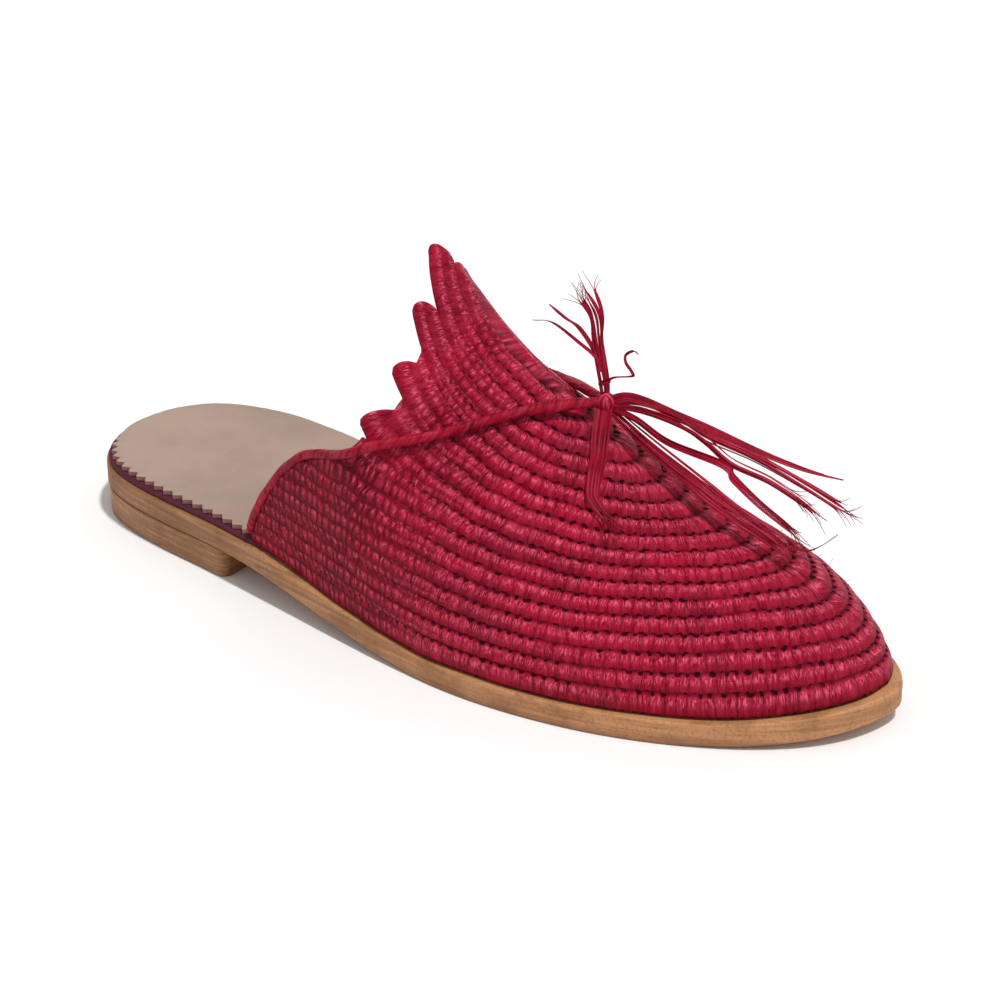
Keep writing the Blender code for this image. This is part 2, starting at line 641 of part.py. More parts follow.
def swept(name, path, side, width, thick, sides, finish):
    """Solid strip or cord along a path: an oval of the width along side and of the thickness across it."""
    path = np.asarray(path, float)
    along = np.gradient(path, axis=0)
    along /= np.linalg.norm(along, axis=1)[:, None]
    side = np.broadcast_to(np.asarray(side, float), path.shape)
    side = side - (side * along).sum(axis=1)[:, None] * along
    side /= np.linalg.norm(side, axis=1)[:, None]
    up = np.cross(along, side)
    turn = 2 * math.pi * (np.arange(sides) + 0.5) / sides
    width = np.broadcast_to(width, len(path))[:, None, None]
    thick = np.broadcast_to(thick, len(path))[:, None, None]
    rings = (path[:, None] + side[:, None] * width / 2 * np.cos(turn)[None, :, None]
             + up[:, None] * thick / 2 * np.sin(turn)[None, :, None])
    count = len(path)
    faces = []
    for r in range(count - 1):
        for i in range(sides):
            j = (i + 1) % sides
            faces.append((r * sides + i, r * sides + j, (r + 1) * sides + j, (r + 1) * sides + i))
    faces.append(tuple(range(sides))[::-1])
    faces.append(tuple((count - 1) * sides + i for i in range(sides)))
    return make_object(name, rings.reshape(-1, 3), faces, finish)


def knot_middle():
    """Where the knot sits: over the ridge, in front of the crown."""
    return section_point(np.array([KNOT_STATION * LENGTH]), np.array([1.0]))[0][0] + (0, 0, KNOT_LIFT)


def make_cord(name, table, inner):
    """Round cord up one quarter and over the coil, ending just short of the knot."""
    rows = [(s, 2 - c, d) if inner else (s, c, d) for s, c, d in table]
    path, out = off_skin(rows)
    knot = knot_middle()
    towards = path[-1] - knot
    end = knot + towards / np.linalg.norm(towards) * (KNOT_RADIUS + GAP)
    path = smooth_path(np.vstack([path, end]), 2)
    out = smooth_path(np.vstack([out, out[-1]]), 2)
    return swept(name, path, out, CORD, CORD, CORD_SIDES, "raffia")


def make_tassel():
    """Knot with its locks of flat strips fused on."""
    knot = knot_middle()
    sphere = bmesh.new()
    bmesh.ops.create_icosphere(sphere, subdivisions=2, radius=KNOT_RADIUS)
    vertices = np.array([v.co[:] for v in sphere.verts]) * (1.0, 1.0, KNOT_FLATTEN) + knot
    faces = [tuple(v.index for v in f.verts) for f in sphere.faces]
    sphere.free()
    tassel = make_object("tassel", vertices, faces, "raffia")
    for name, (widths, points) in LOCKS.items():
        path = smooth_path(np.array(points) + knot, 3)
        share = np.linspace(0, 1, len(path))
        width = np.interp(share, (0, 0.5, 1), widths)
        thick = np.minimum(LOCK_THICK, width)
        across = (0.3, 1, 0) if name.startswith("up") else (0, 1, 0.1)
        join(tassel, swept(name, path, across, width, thick, 6, "raffia"))
    path, out = off_skin(HANGING)
    path = smooth_path(np.vstack([knot, path[1:]]), 3)
    width = np.interp(np.linspace(0, 1, len(path)), (0, 0.5, 1), HANGING_WIDTHS)
    join(tassel, swept("hanging", path, (1, 0, 0), width, LOCK_THICK, 6, "raffia"))
    return tassel


def join(body, lock):
    """Fuse a lock on and take the loose one away."""
    union = body.modifiers.new("join", "BOOLEAN")
    union.operation = "UNION"
    union.solver = "EXACT"
    union.object = lock
    bpy.context.view_layer.update()
    fused = bpy.data.meshes.new_from_object(body.evaluated_get(bpy.context.evaluated_depsgraph_get()))
    body.modifiers.clear()
    body.data = fused
    bpy.data.objects.remove(lock, do_unlink=True)
    fused.shade_smooth()
    fused.set_sharp_from_angle(angle=math.radians(40))


def clear_objects():
    """Start from an empty scene."""
    for thing in list(bpy.data.objects):
        bpy.data.objects.remove(thing, do_unlink=True)


clear_objects()
make_outsole()
make_heel_block()
make_rand()
make_insole()
make_upper()
make_cord("cord_outer", OUTER_CORD, False)
make_cord("cord_inner", INNER_CORD, True)
make_tassel()
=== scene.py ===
"""Coiled raffia babouche for the right foot, dressed over its frame.

Lengths are named in millimetres and become metres when a mesh is made. Stations along the sole are
counted from the back end of the heel; the origin lies HEEL_MIDDLE in front of it, on the floor.
"""

import math

import bpy
import numpy as np
from bpy.props import FloatProperty, FloatVectorProperty, IntProperty, PointerProperty
from mathutils import Matrix, Vector


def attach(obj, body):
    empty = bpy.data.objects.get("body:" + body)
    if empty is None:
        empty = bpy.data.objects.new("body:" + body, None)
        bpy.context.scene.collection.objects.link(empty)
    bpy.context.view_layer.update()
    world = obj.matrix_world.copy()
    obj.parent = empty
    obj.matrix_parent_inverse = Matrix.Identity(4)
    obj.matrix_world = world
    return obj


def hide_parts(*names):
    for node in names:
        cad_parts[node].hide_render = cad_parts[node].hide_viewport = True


bl_info = {
    "name": "Raffia babouche",
    "version": (1, 0, 0),
    "blender": (4, 5, 0),
    "location": "3D View > Sidebar > Babouche",
    "description": "Builds a coiled raffia slipper with a leather sole, cords and a tassel",
    "category": "Add Mesh",
}

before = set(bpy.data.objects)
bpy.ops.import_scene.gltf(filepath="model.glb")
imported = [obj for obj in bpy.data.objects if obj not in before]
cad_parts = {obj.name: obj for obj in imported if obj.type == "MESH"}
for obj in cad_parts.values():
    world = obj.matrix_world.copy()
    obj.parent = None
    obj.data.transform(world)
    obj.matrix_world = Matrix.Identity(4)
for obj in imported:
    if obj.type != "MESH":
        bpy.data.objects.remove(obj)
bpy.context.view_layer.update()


# Main sizes, millimetres
LENGTH = 268.0            # sole, heel to toe
BALL_WIDTH = 93.0         # sole across the ball
HEEL_MIDDLE = 0.135 * LENGTH
HEEL_RISE = 9.5           # underside of the sole above the floor at the heel
OUTSOLE = 7.0             # sole leather
RAND = 1.2                # dyed layer between sole and insole
INSOLE = 1.5              # insole leather
INSTEP = 52.5             # ridge of the upper above its foot line, at the knot
GAP = 0.3                 # between pieces that rest on each other

# Upper
WALL = 2.6                # coil from its inner face to the mean outer face
RELIEF = 0.75             # how far a row's middle and its edge stand out or in
UPPER_INSET = 1.6         # foot line of the upper, in from the edge of the sole
ROWS = 17                 # coil rows from the sole to the innermost loop
RIDGE_ROUND = 8.0         # radius with which a row turns over the ridge

# Sole and heel
SOLE_TOP_ROUND = 0.7
SOLE_BOTTOM_ROUND = 1.1
TOE_SPRING = 4.2
HEEL_BLOCK_LENGTH = 67.0
HEEL_BLOCK_TAPER = 0.2    # foot of the block, in from its top, before the round
HEEL_BLOCK_INSET = 0.3    # top of the block, in from the edge of the sole
HEEL_FOOT_ROUND = 1.0
BREAST_ROUND = 2.0        # rounded corners of the heel's front
BREAST_SHARE = 0.92       # width of the breast, over the width just behind it
RAND_INSET = 0.9
INSOLE_INSET = 1.9
PINKED_END = 2.0          # pinked edge stops short of the quarter's cord
PINKED_SHARE = 0.375      # length of the pinked edge on one side, over LENGTH
TOE_CENTRE = 0.72         # middle of the toe's round, over LENGTH
TOE_CLEARANCE = 3.8       # insole further in at the toe, where the wall leans

# Cord, knot and tassel
CORD = 3.0                # diameter
KNOT_LIFT = 8.6           # knot's middle above the ridge

# Sole edge: station and half widths, as shares of LENGTH and BALL_WIDTH
OUTLINE = (
    # station, outer side, inner side
    (0.0000, 0.000, 0.000),
    (0.0075, 0.107, 0.124),
    (0.0224, 0.188, 0.210),
    (0.0485, 0.263, 0.290),
    (0.0896, 0.317, 0.344),
    (0.1493, 0.358, 0.371),
    (0.2164, 0.390, 0.355),
    (0.2836, 0.427, 0.328),
    (0.3545, 0.468, 0.312),
    (0.4291, 0.512, 0.318),
    (0.5037, 0.553, 0.347),
    (0.5784, 0.583, 0.383),
    (0.6418, 0.588, 0.409),
    (0.7090, 0.570, 0.419),
    (0.7687, 0.535, 0.409),
    (0.8284, 0.478, 0.376),
    (0.8843, 0.403, 0.317),
    (0.9328, 0.312, 0.242),
    (0.9664, 0.220, 0.161),
    (0.9888, 0.118, 0.081),
    (1.0000, 0.000, 0.000),
)

# Underside of the sole: station as a share of LENGTH, then shares of HEEL_RISE and of TOE_SPRING
UNDERSIDE = (
    # station, heel share, toe share
    (0.000, 1.00, 0.00),
    (0.224, 1.00, 0.00),
    (0.280, 0.95, 0.00),
    (0.354, 0.70, 0.00),
    (0.429, 0.38, 0.00),
    (0.504, 0.13, 0.00),
    (0.567, 0.00, 0.00),
    (0.802, 0.00, 0.00),
    (0.877, 0.00, 0.14),
    (0.940, 0.00, 0.48),
    (1.000, 0.00, 1.00),
)

# Sections of the upper: station over LENGTH, half widths over BALL_WIDTH, ridge height over INSTEP,
# ridge offset over BALL_WIDTH, and the two powers of the section's curve
SECTIONS = (
    # station, outer, inner, ridge, offset, power across, power up
    (0.2836, 0.412, 0.302, 1.86, 0.000, 1.20, 2.70),
    (0.3731, 0.462, 0.297, 1.86, 0.000, 1.20, 2.70),
    (0.4422, 0.508, 0.315, 1.86, 0.011, 1.20, 2.70),
    (0.4478, 0.511, 0.319, 1.82, 0.011, 1.20, 2.70),
    (0.4590, 0.517, 0.324, 1.72, 0.011, 1.20, 2.60),
    (0.4776, 0.529, 0.333, 1.61, 0.016, 1.22, 2.50),
    (0.5000, 0.542, 0.346, 1.48, 0.022, 1.25, 2.40),
    (0.5299, 0.556, 0.363, 1.345, 0.027, 1.30, 2.30),
    (0.5597, 0.568, 0.378, 1.23, 0.032, 1.40, 2.20),
    (0.5970, 0.575, 0.396, 1.12, 0.032, 1.50, 2.10),
    (0.6418, 0.576, 0.406, 1.00, 0.032, 1.60, 2.05),
    (0.7015, 0.561, 0.411, 0.83, 0.032, 1.70, 2.00),
    (0.7612, 0.525, 0.400, 0.69, 0.027, 1.80, 2.00),
    (0.8134, 0.473, 0.371, 0.61, 0.022, 1.90, 2.00),
    (0.8582, 0.419, 0.328, 0.545, 0.016, 2.00, 2.00),
    (0.8955, 0.358, 0.280, 0.46, 0.011, 2.00, 2.00),
    (0.9291, 0.285, 0.215, 0.357, 0.005, 2.00, 2.00),
    (0.9552, 0.212, 0.156, 0.240, 0.000, 2.00, 2.00),
    (0.9739, 0.140, 0.097, 0.122, 0.000, 2.00, 2.00),
    (0.9843, 0.075, 0.054, 0.045, 0.000, 2.00, 2.00),
    (0.9888, 0.000, 0.000, 0.004, 0.000, 2.00, 2.00),
)

# Where the line above each row crosses the ridge, as a share of LENGTH, from the toe to the innermost loop
NOSES = (
    0.9888, 0.9776, 0.9664, 0.9515, 0.9328, 0.9142, 0.8900, 0.8657, 0.8433,
    0.8172, 0.7892, 0.7612, 0.7369, 0.7108, 0.6828, 0.6530, 0.6213, 0.5840,
)

# Rear edge of the quarters, up to the crown's outermost fingers: line of the coil, then station over LENGTH
OUTER_QUARTER = ((0, 0.2980), (1, 0.3046), (2, 0.3124), (3, 0.3244), (4, 0.3366), (5, 0.3521), (5.5, 0.3610),
                 (6, 0.3770), (6.5, 0.3980), (7, 0.4285), (7.5, 0.4480), (8, 0.4540), (9, 0.4670),
                 (10, 0.4757), (17, 0.4757))
INNER_QUARTER = ((0, 0.2980), (1, 0.3020), (2, 0.3098), (3, 0.3190), (4, 0.3300), (5, 0.3424), (6, 0.3589),
                 (7, 0.3773), (8, 0.3990), (8.5, 0.4140), (9, 0.4315), (9.5, 0.4460), (10, 0.4550),
                 (11, 0.4670), (12, 0.4757), (17, 0.4757))
QUARTERS = (OUTER_QUARTER, INNER_QUARTER)

# How the rows climb each side, from the toe to the quarters: station over LENGTH, share of the climb
# that is even, share that crowds to the ridge, share by which the upper rows fan up into the crown,
# the same three on the inner side, and the ridge's round
CLIMB = (
    # station, outer even, crowded, fan, inner even, crowded, fan, round
    (0.2910, 0.86, 0.02, 0.300, 0.82, 0.00, 0.100, 0.0),
    (0.4410, 0.86, 0.02, 0.240, 0.82, 0.00, 0.095, 0.0),
    (0.4552, 0.86, 0.02, 0.200, 0.83, 0.00, 0.090, 0.0),
    (0.4757, 0.89, 0.01, 0.126, 0.87, 0.00, 0.060, 0.0),
    (0.5037, 0.92, 0.01, 0.060, 0.92, 0.00, 0.025, 0.0),
    (0.5410, 0.96, 0.00, 0.014, 0.97, 0.00, 0.000, 0.0),
    (0.5970, 1.00, 0.00, 0.000, 1.00, 0.00, 0.000, 0.6),
    (0.6343, 0.98, 0.02, 0.000, 0.98, 0.02, 0.000, 1.0),
    (0.7276, 0.92, 0.08, 0.000, 0.92, 0.08, 0.000, 1.0),
    (1.0000, 0.92, 0.08, 0.000, 0.92, 0.08, 0.000, 1.0),
)
# Row where the fan starts and how many rows it takes to open, outer and inner side
FANS = ((6, 6), (8, 5))

# Cords: up the quarter's rear edge, then over the coil to the knot. Station over LENGTH, share of the
# way up the section, and how far the cord's middle stands off the mean outer face, millimetres
CORDS = (
    # station, outer climb, stand-off, inner climb, stand-off
    (0.2905, 0.022, -0.9, 0.022, -0.9),
    (0.2952, 0.055, -0.9, 0.058, -0.9),
    (0.3035, 0.098, -0.9, 0.105, -0.9),
    (0.3135, 0.145, -0.9, 0.155, -0.9),
    (0.3270, 0.195, -0.9, 0.210, -0.9),
    (0.3400, 0.243, -0.9, 0.258, -0.9),
    (0.3552, 0.285, -0.9, 0.300, -0.9),
    (0.3720, 0.322, -0.9, 0.348, -0.9),
    (0.3899, 0.345, -0.9, 0.392, -0.9),
    (0.4060, 0.360, -0.8, 0.425, -0.8),
    (0.4200, 0.374, 0.2, 0.454, 0.1),
    (0.4320, 0.386, 1.5, 0.474, 1.1),
    (0.4450, 0.406, 2.3, 0.498, 1.8),
    (0.4620, 0.460, 2.3, 0.528, 1.7),
    (0.4869, 0.522, 2.3, 0.578, 1.5),
    (0.5114, 0.590, 2.3, 0.636, 1.2),
    (0.5368, 0.676, 2.3, 0.706, 1.0),
    (0.5608, 0.770, 2.4, 0.780, 1.1),
    (0.5790, 0.838, 2.7, 0.846, 1.6),
    (0.5980, 0.912, 3.3, 0.912, 2.8),
)
KNOT_STATION = 0.6437

# The strand that hangs down the outer side: station over LENGTH, climb and stand-off
HANGING = (
    (0.6437, 0.960, 6.4),
    (0.6500, 0.915, 3.2),
    (0.6600, 0.860, 2.2),
    (0.6680, 0.790, 2.2),
    (0.6780, 0.720, 2.2),
    (0.6940, 0.690, 2.2),
    (0.7050, 0.678, 2.2),
)
HANGING_WIDTHS = (4.6, 4.6, 2.4)


def through(x, table, column):
    """Smooth curve through one column of a table, which never swings past its own points."""
    xs = np.array([row[0] for row in table], float)
    ys = np.array([row[column] for row in table], float)
    x = np.asarray(x, float)
    step = np.diff(xs)
    slope = np.diff(ys) / step
    bend = np.empty_like(ys)
    bend[0] = slope[0]
    bend[-1] = slope[-1]
    before, after = slope[:-1], slope[1:]
    same = before * after > 0
    short, long = 2 * step[1:] + step[:-1], step[1:] + 2 * step[:-1]
    mix = np.where(same, short * after + long * before, 1.0)
    bend[1:-1] = np.where(same, 3 * (step[:-1] + step[1:]) * before * after / mix, 0.0)
    i = np.clip(np.searchsorted(xs, x) - 1, 0, len(step) - 1)
    t = np.clip((x - xs[i]) / step[i], 0, 1)
    return (ys[i] * (1 + 2 * t) * (1 - t) ** 2 + step[i] * bend[i] * t * (1 - t) ** 2
            + ys[i + 1] * t * t * (3 - 2 * t) + step[i] * bend[i + 1] * t * t * (t - 1))


def underside(x):
    """Height of the sole's underside over the floor at station x."""
    share = np.asarray(x) / LENGTH
    return HEEL_RISE * through(share, UNDERSIDE, 1) + TOE_SPRING * through(share, UNDERSIDE, 2)


def foot_line(x):
    """Height at which the upper stands: on the rand, which lies on the sole."""
    return underside(x) + OUTSOLE + GAP + RAND + GAP


def curve_through(before, here, after, beyond, parts):
    """Smooth curve from each point to the one after it, from the points on either side as well."""
    a, b, c, d = (p[:, None] for p in (before, here, after, beyond))
    t = (np.arange(parts) / parts)[None, :, None]
    curve = 0.5 * (2 * b + (c - a) * t + (2 * a - 5 * b + 4 * c - d) * t ** 2
                   + (3 * b - a - 3 * c + d) * t ** 3)
    return curve.reshape(-1, here.shape[1])


def closed_curve(points, parts):
    """Closed smooth curve through the points, with so many parts between each two."""
    p = np.array(points, float)
    return curve_through(np.roll(p, 1, axis=0), p, np.roll(p, -1, axis=0), np.roll(p, -2, axis=0), parts)


def sole_edge(parts):
    """Sole outline: from the back of the heel along the outer side to the toe, back along the inner."""
    outer = [(s * LENGTH, -o * BALL_WIDTH) for s, o, _ in OUTLINE]
    inner = [(s * LENGTH, i * BALL_WIDTH) for s, _, i in reversed(OUTLINE[1:-1])]
    return closed_curve(outer + inner, parts)


def moved_in(ring, distance):
    """The ring's points moved towards its inside, square to the outline."""
    along = unit(np.roll(ring, -1, axis=0) - np.roll(ring, 1, axis=0))
    inward = np.c_[-along[:, 1], along[:, 0]]
    return ring + inward * np.asarray(distance).reshape(-1, 1)


def with_height(ring, height):
    """Ring of plan points given a height, a number or one for each point."""
    return np.c_[ring, np.broadcast_to(height, len(ring))]


def section_point(x, girth):
    """Point of the upper's mean outer face at station x.

    Each side of a section is y = w cos(a)^(2/p), z = h sin(a)^(2/q) from its foot to the ridge;
    girth runs 0 to 1 up the outer side by length and 1 to 2 down the inner side.
    """
    x = np.asarray(x, float)
    girth = np.broadcast_to(np.asarray(girth, float), x.shape)
    share = x / LENGTH
    outer, inner, ridge, offset, across, up = (through(share, SECTIONS, c) for c in range(1, 7))
    inner_side = girth > 1
    width = np.where(inner_side, inner, outer) * BALL_WIDTH
    angle = np.linspace(0, math.pi / 2, 41)[None, :]
    rise = np.sin(angle) ** (2 / up[:, None])
    sign = np.where(inner_side, 1.0, -1.0)[:, None]
    y = sign * width[:, None] * np.cos(angle) ** (2 / across[:, None]) + offset[:, None] * BALL_WIDTH * rise
    z = ridge[:, None] * INSTEP * rise
    run = np.hypot(np.diff(y, axis=1), np.diff(z, axis=1))
    length = np.concatenate([np.zeros((len(x), 1)), np.cumsum(run, axis=1)], axis=1)
    want = np.where(inner_side, 2 - girth, girth) * length[:, -1]
    i = np.clip((length < want[:, None]).sum(axis=1) - 1, 0, angle.shape[1] - 2)
    row = np.arange(len(x))
    span = np.maximum(length[row, i + 1] - length[row, i], 1e-9)
    t = np.clip((want - length[row, i]) / span, 0, 1)
    y = y[row, i] + (y[row, i + 1] - y[row, i]) * t
    z = z[row, i] + (z[row, i + 1] - z[row, i]) * t
    return np.c_[x, y, z + foot_line(x)], length[:, -1]


def rows_below(x):
    """How many rows lie between the sole and the ridge at station x, as a real number."""
    table = [(-nose, line) for line, nose in enumerate(NOSES)]
    return through(-np.asarray(x, float) / LENGTH, table, 1)


def coil_point(line, x, inner):
    """Point of the coil's mean outer face on a line between rows, at station x, on either side."""
    x = np.asarray(x, float)
    line = np.broadcast_to(np.asarray(line, float), x.shape)
    share = x / LENGTH
    columns = (4, 5, 6, 7) if inner else (1, 2, 3, 7)
    even, crowded, fan, round_share = (through(share, CLIMB, c) for c in columns)
    first, rows = FANS[inner]
    half = section_point(x, np.full(x.shape, 2.0 if inner else 0.0))[1]
    other = section_point(x, np.full(x.shape, 0.0 if inner else 2.0))[1]
    level = np.clip(line / np.maximum(rows_below(x), 1e-6), 0, 1)
    opening = np.clip((line - first) / rows, 0, 1)
    level = even * level + crowded * level ** 6 + fan * opening ** 2 * (3 - 2 * opening)
    turn = np.minimum(RIDGE_ROUND * round_share, 0.35 * half)
    whole = np.sqrt(half ** 2 + turn ** 2) - turn
    left = (1 - level) * whole
    to_ridge = np.sign(left) * np.sqrt(left ** 2 + 2 * np.abs(left) * turn)
    past = to_ridge < 0
    girth = np.where(past, 1 - to_ridge / other, 1 - to_ridge / half)
    return section_point(x, 2 - girth if inner else girth)[0]


def off_skin(table):
    """Points off the upper's mean outer face, and the face's directions there, for rows of
    station, climb and stand-off."""
    rows = np.array(table)
    x, climb, off = rows[:, 0] * LENGTH, rows[:, 1], rows[:, 2]
    point = section_point(x, climb)[0]
    along = section_point(x + 0.5, climb)[0] - section_point(x - 0.5, climb)[0]
    up = section_point(x, climb + 0.01)[0] - section_point(x, climb - 0.01)[0]
    out = unit(np.cross(along, up))
    return point + out * off[:, None], out


def smooth_path(points, parts):
    """Open smooth curve through the points, with so many parts between each two."""
    p = np.array(points, float)
    p = np.vstack([2 * p[0] - p[1], p, 2 * p[-1] - p[-2]])
    return np.vstack([curve_through(p[:-3], p[1:-2], p[2:-1], p[3:], parts), p[-2]])


def unit(vectors):
    """Vectors of length 1 in the same directions."""
    return vectors / np.linalg.norm(vectors, axis=1)[:, None]


def way_along(points):
    """Length from the first point to each, along the points."""
    return np.r_[0.0, np.cumsum(np.linalg.norm(np.diff(points, axis=0), axis=1))]


def smooth_step(value, low, high):
    """Smooth rise from 0 at low to 1 at high."""
    t = np.clip((value - low) / (high - low), 0, 1)
    return t * t * (3 - 2 * t)


# Finer sizes of the dressed piece, millimetres
LINES_PER_ROW = 8         # mesh lines on one coil row
LEG_STEPS = 124           # mesh steps along one leg of a line, up to its root
LEG_SAMPLES = 320         # and samples by which its length is measured
TIP_SAMPLES = 160         # and beyond the root
LEG_POWER = 1.7           # how the samples crowd towards the ridge
ROW_HEIGHT = 0.72         # a row's middle over its edge lines, outside
ROW_ROUND = 0.7           # power of the sine that rounds a row
ROW_MEAN = 0.62           # level of the mean face, over ROW_HEIGHT
INSIDE_SHARE = 0.5        # row height inside, over that outside
STITCH = 3.3              # from one stitch to the next along a row
RIM = 1.4                 # rounded rim of the wall
ROW_PITCH = 4.4           # from line to line, up in the crown
UNDER_CORD = 1.7          # the quarter's rear edge runs this far under its cord
UNDER_CORD_MORE = 0.7     # and this much more where the rows meet the cord aslant
ASLANT = (5.0, 6.0, 7.2, 7.9)  # coil lines: they begin to, do so in full, and cease to between the last two
ROW_DROP = 1.25           # the first row comes down this far over the rand, in front of the quarter
TOOTH_WIDTH = 4.7         # pinked edge of the insole
TOOTH_HEIGHT = 1.9
TOOTH_START = (7.0, 18.0)  # lengths from the heel's back over which the teeth grow
FAR_TEETH = 0.06          # what is left of them on the inner side
INSOLE_MARGINS = (0.0, 0.6, 2.6)  # rings of the insole's top, in from its edge
TOOTH_SHARES = (1.0, 0.8, 0.0)    # and how far each follows the teeth
RAND_HIDDEN = 3.4         # the rand lies this much further in, under the first row
RAND_HIDING = (70.0, 105.0)  # stations over which it goes in
SLACK = 0.3               # share of GAP by which rand and insole move nearer what they rest on
TIP_ROUND = 3.5           # rounded corners of the crown's fingers
SHORTEST_TIP = 0.3
CROWN_BLEND = 24.0        # length over which the coil's holes and lumps fade towards the crown
FAR_LEAD = 26.0           # on the inner side they fade this much sooner
QUARTER_RELIEF = 0.35     # row height at the quarter, over that of the forefoot
PAIR_BLEND = 9.0          # length over which a finger's two turns grow into one
PINCH = 0.9               # how far both faces come together at a free rim of the crown
EDGE_PINCH = 0.4          # and at the wall's other rims, over that
SKIRT = (78.0, 110.0)     # stations over which the first row comes down
RELIEF_RISE = (105.0, 155.0)  # stations over which the rows rise
OPEN_RISE = (118.0, 168.0)  # stations over which the stitches open
FINE_ROWS = 1.45          # rows of close stitches on one coil row
TOE_SHADE = (0.150, 0.215)  # metres in front of the heel's middle, over which the toe darkens

# Ends of the crown's fingers: line where a finger starts, mesh columns past its root, and how far
# its near and far corner would stand past the root if they were square, millimetres
OUTER_TIPS = (
    # line, columns, near, far
    (8, 6, 8.3, -1.9),
    (10, 14, 11.2, -4.0),
    (12, 26, 14.6, 4.9),
    (14, 44, 22.5, 10.5),
    (16, 44, 7.0, 7.5),
)
INNER_TIPS = (
    # line, columns, near, far
    (10, 6, 5.2, 0.5),
    (12, 14, 9.5, 1.5),
    (14, 26, 11.0, 5.0),
    (16, 44, 9.8, 7.5),
)
TIPS = (OUTER_TIPS, INNER_TIPS)
LAST_STATION = 0.425      # lines end before it, over LENGTH

# Strands of the tassel as the picture shows them: flat strips in the strand, width at its root,
# middle and end, spread of its end, then points as distances from the knot across the picture, up
# it, and inward over the foot, millimetres
STRANDS = {
    "upright": (7, (2.6, 3.4, 5.4), 2.0,
                ((0, 0, 0), (-0.6, 6, 0), (-2.6, 15.8, 1), (-3.7, 23, 1), (-7.0, 29, 1))),
    "wisp_low": (1, (0.9, 0.9, 0.6), 0.4,
                 ((-1.4, 8, 0), (-2.9, 12, 0), (-7.2, 16, 1), (-14.6, 22, 3), (-20, 23, 4))),
    "wisp_high": (1, (0.9, 0.9, 0.6), 0.4,
                  ((-1.4, 8, 0), (-2.8, 13, 1), (-7.2, 20, 2), (-11, 23, 3), (-15.5, 27, 4))),
    "curl": (1, (0.6, 0.6, 0.5), 0.1,
             ((0, 5.4, 0), (2.2, 6.4, 0), (6.9, 6.6, 0), (6.6, 8.0, 0), (5.2, 10.3, 1), (5.2, 12.4, 2),
              (7.2, 13.4, 2), (8.6, 12.4, 2))),
    "longest": (2, (2.8, 1.8, 1.2), 0.3,
                ((0, 0, 0), (5, 1.3, 2), (10.6, 0, 3), (19.8, -4, 6), (28.4, -7.7, 8), (44, -15, 13),
                 (56, -19.5, 17), (68.5, -22.6, 21))),
    "long": (5, (3.0, 3.4, 2.6), 1.2,
             ((0, 0, 0), (10, -0.6, 3), (19.8, -4.6, 5), (27.5, -9.7, 6), (40, -15.5, 9), (53, -23, 12),
              (62, -28.5, 14), (65, -30, 15))),
    "frayed": (5, (2.0, 2.8, 3.0), 1.8,
               ((0, -0.6, 0), (11, -3, 2), (21, -7, 3), (27, -11, 4), (34, -17, 6), (44, -22, 8),
                (53, -28.4, 10), (58, -33, 11))),
    "forked": (3, (2.0, 2.0, 1.4), 0.6,
               ((0, -1, 0), (8, -5, 0), (17, -11.5, 1), (31.5, -17.6, 3), (34.5, -21.5, 3), (41, -28, 4),
                (47.5, -33.5, 5), (51, -36.6, 6), (55, -42, 7))),
    "broad": (8, (2.6, 5.4, 4.2), 1.2,
              ((0, -1.2, 0), (10.6, -11, -1), (22, -20.6, -2), (33.5, -29.8, -3), (43.6, -36.8, -4),
               (51, -42.5, -4))),
    "end_wisp": (1, (0.7, 0.6, 0.4), 0.2,
                 ((50, -40, 3), (54, -41, 5), (58, -39.5, 7), (62, -36.5, 8))),
}
UPWARD_STRANDS = ("upright", "wisp_low", "wisp_high", "curl")
VIEW_RIGHT = (0.832, 0.555, 0.0)     # directions across the picture and up it
VIEW_UP = (-0.252, 0.378, 0.891)
LONG_SIDE = (-0.3, 0.6, 0.75)        # across a long strand's strips
HANGING_SIDE = (0.9, 0.35, 0.2)      # and the hanging one's
KNOT_SIZE = 2.2                      # where the cords end, from the knot's middle
CORD_FLARE = ((0, 0.02, 0.88, 0.95, 1), (0.6, 0.92, 0.92, 1.35, 0.9))  # share of the way, width over CORD
CORD_LAY = {"lobes": 5, "relief": 0.035, "turns": 0.9}   # strands, their swell, radians a millimetre
# Turns of the knot: tilt, radius and height
KNOT_TURNS = ((0.2, 2.0, 0.0), (0.9, 1.9, 0.3), (-0.6, 2.0, -0.3), (1.6, 1.7, 0.0))
STRIPS = 6                           # in a strand, of which the table's numbers are a share
STRIP_THICK = 0.22
DRIFT = 2.2                          # power by which a strand's strips spread
HAIR_STEPS = 8                       # mesh steps along the fine fibres of a split end

# Loose fibres: stations over LENGTH, share of the way round the section, and lengths
FIBRE_STATIONS = (0.47, 0.95)
FIBRE_CLIMB = (0.1, 1.9)
FIBRE_LENGTH = (1.5, 5.0)

# Camera, metres and degrees, and light
CAMERA_TARGET = (0.1394 - HEEL_MIDDLE / 1000, 0.0001, 0.0310)
CAMERA_AZIMUTH = 33.70
CAMERA_ELEVATION = 27.0
CAMERA_DISTANCE = 0.8255
SENSOR = 36.0
FOCAL_LENGTH = SENSOR * 2880.0 / 1000.0
SKY_STRENGTH = 0.52
SUN_ENERGY = 2.1
SUN_ANGLE = 5
SUN_PLACE = (0.22, 0.72, 0.66)       # right of the camera's target, up and towards the camera
FLOOR_SIZE = 3.0
FLOOR_COLOUR = (0.93, 0.93, 0.93, 1.0)


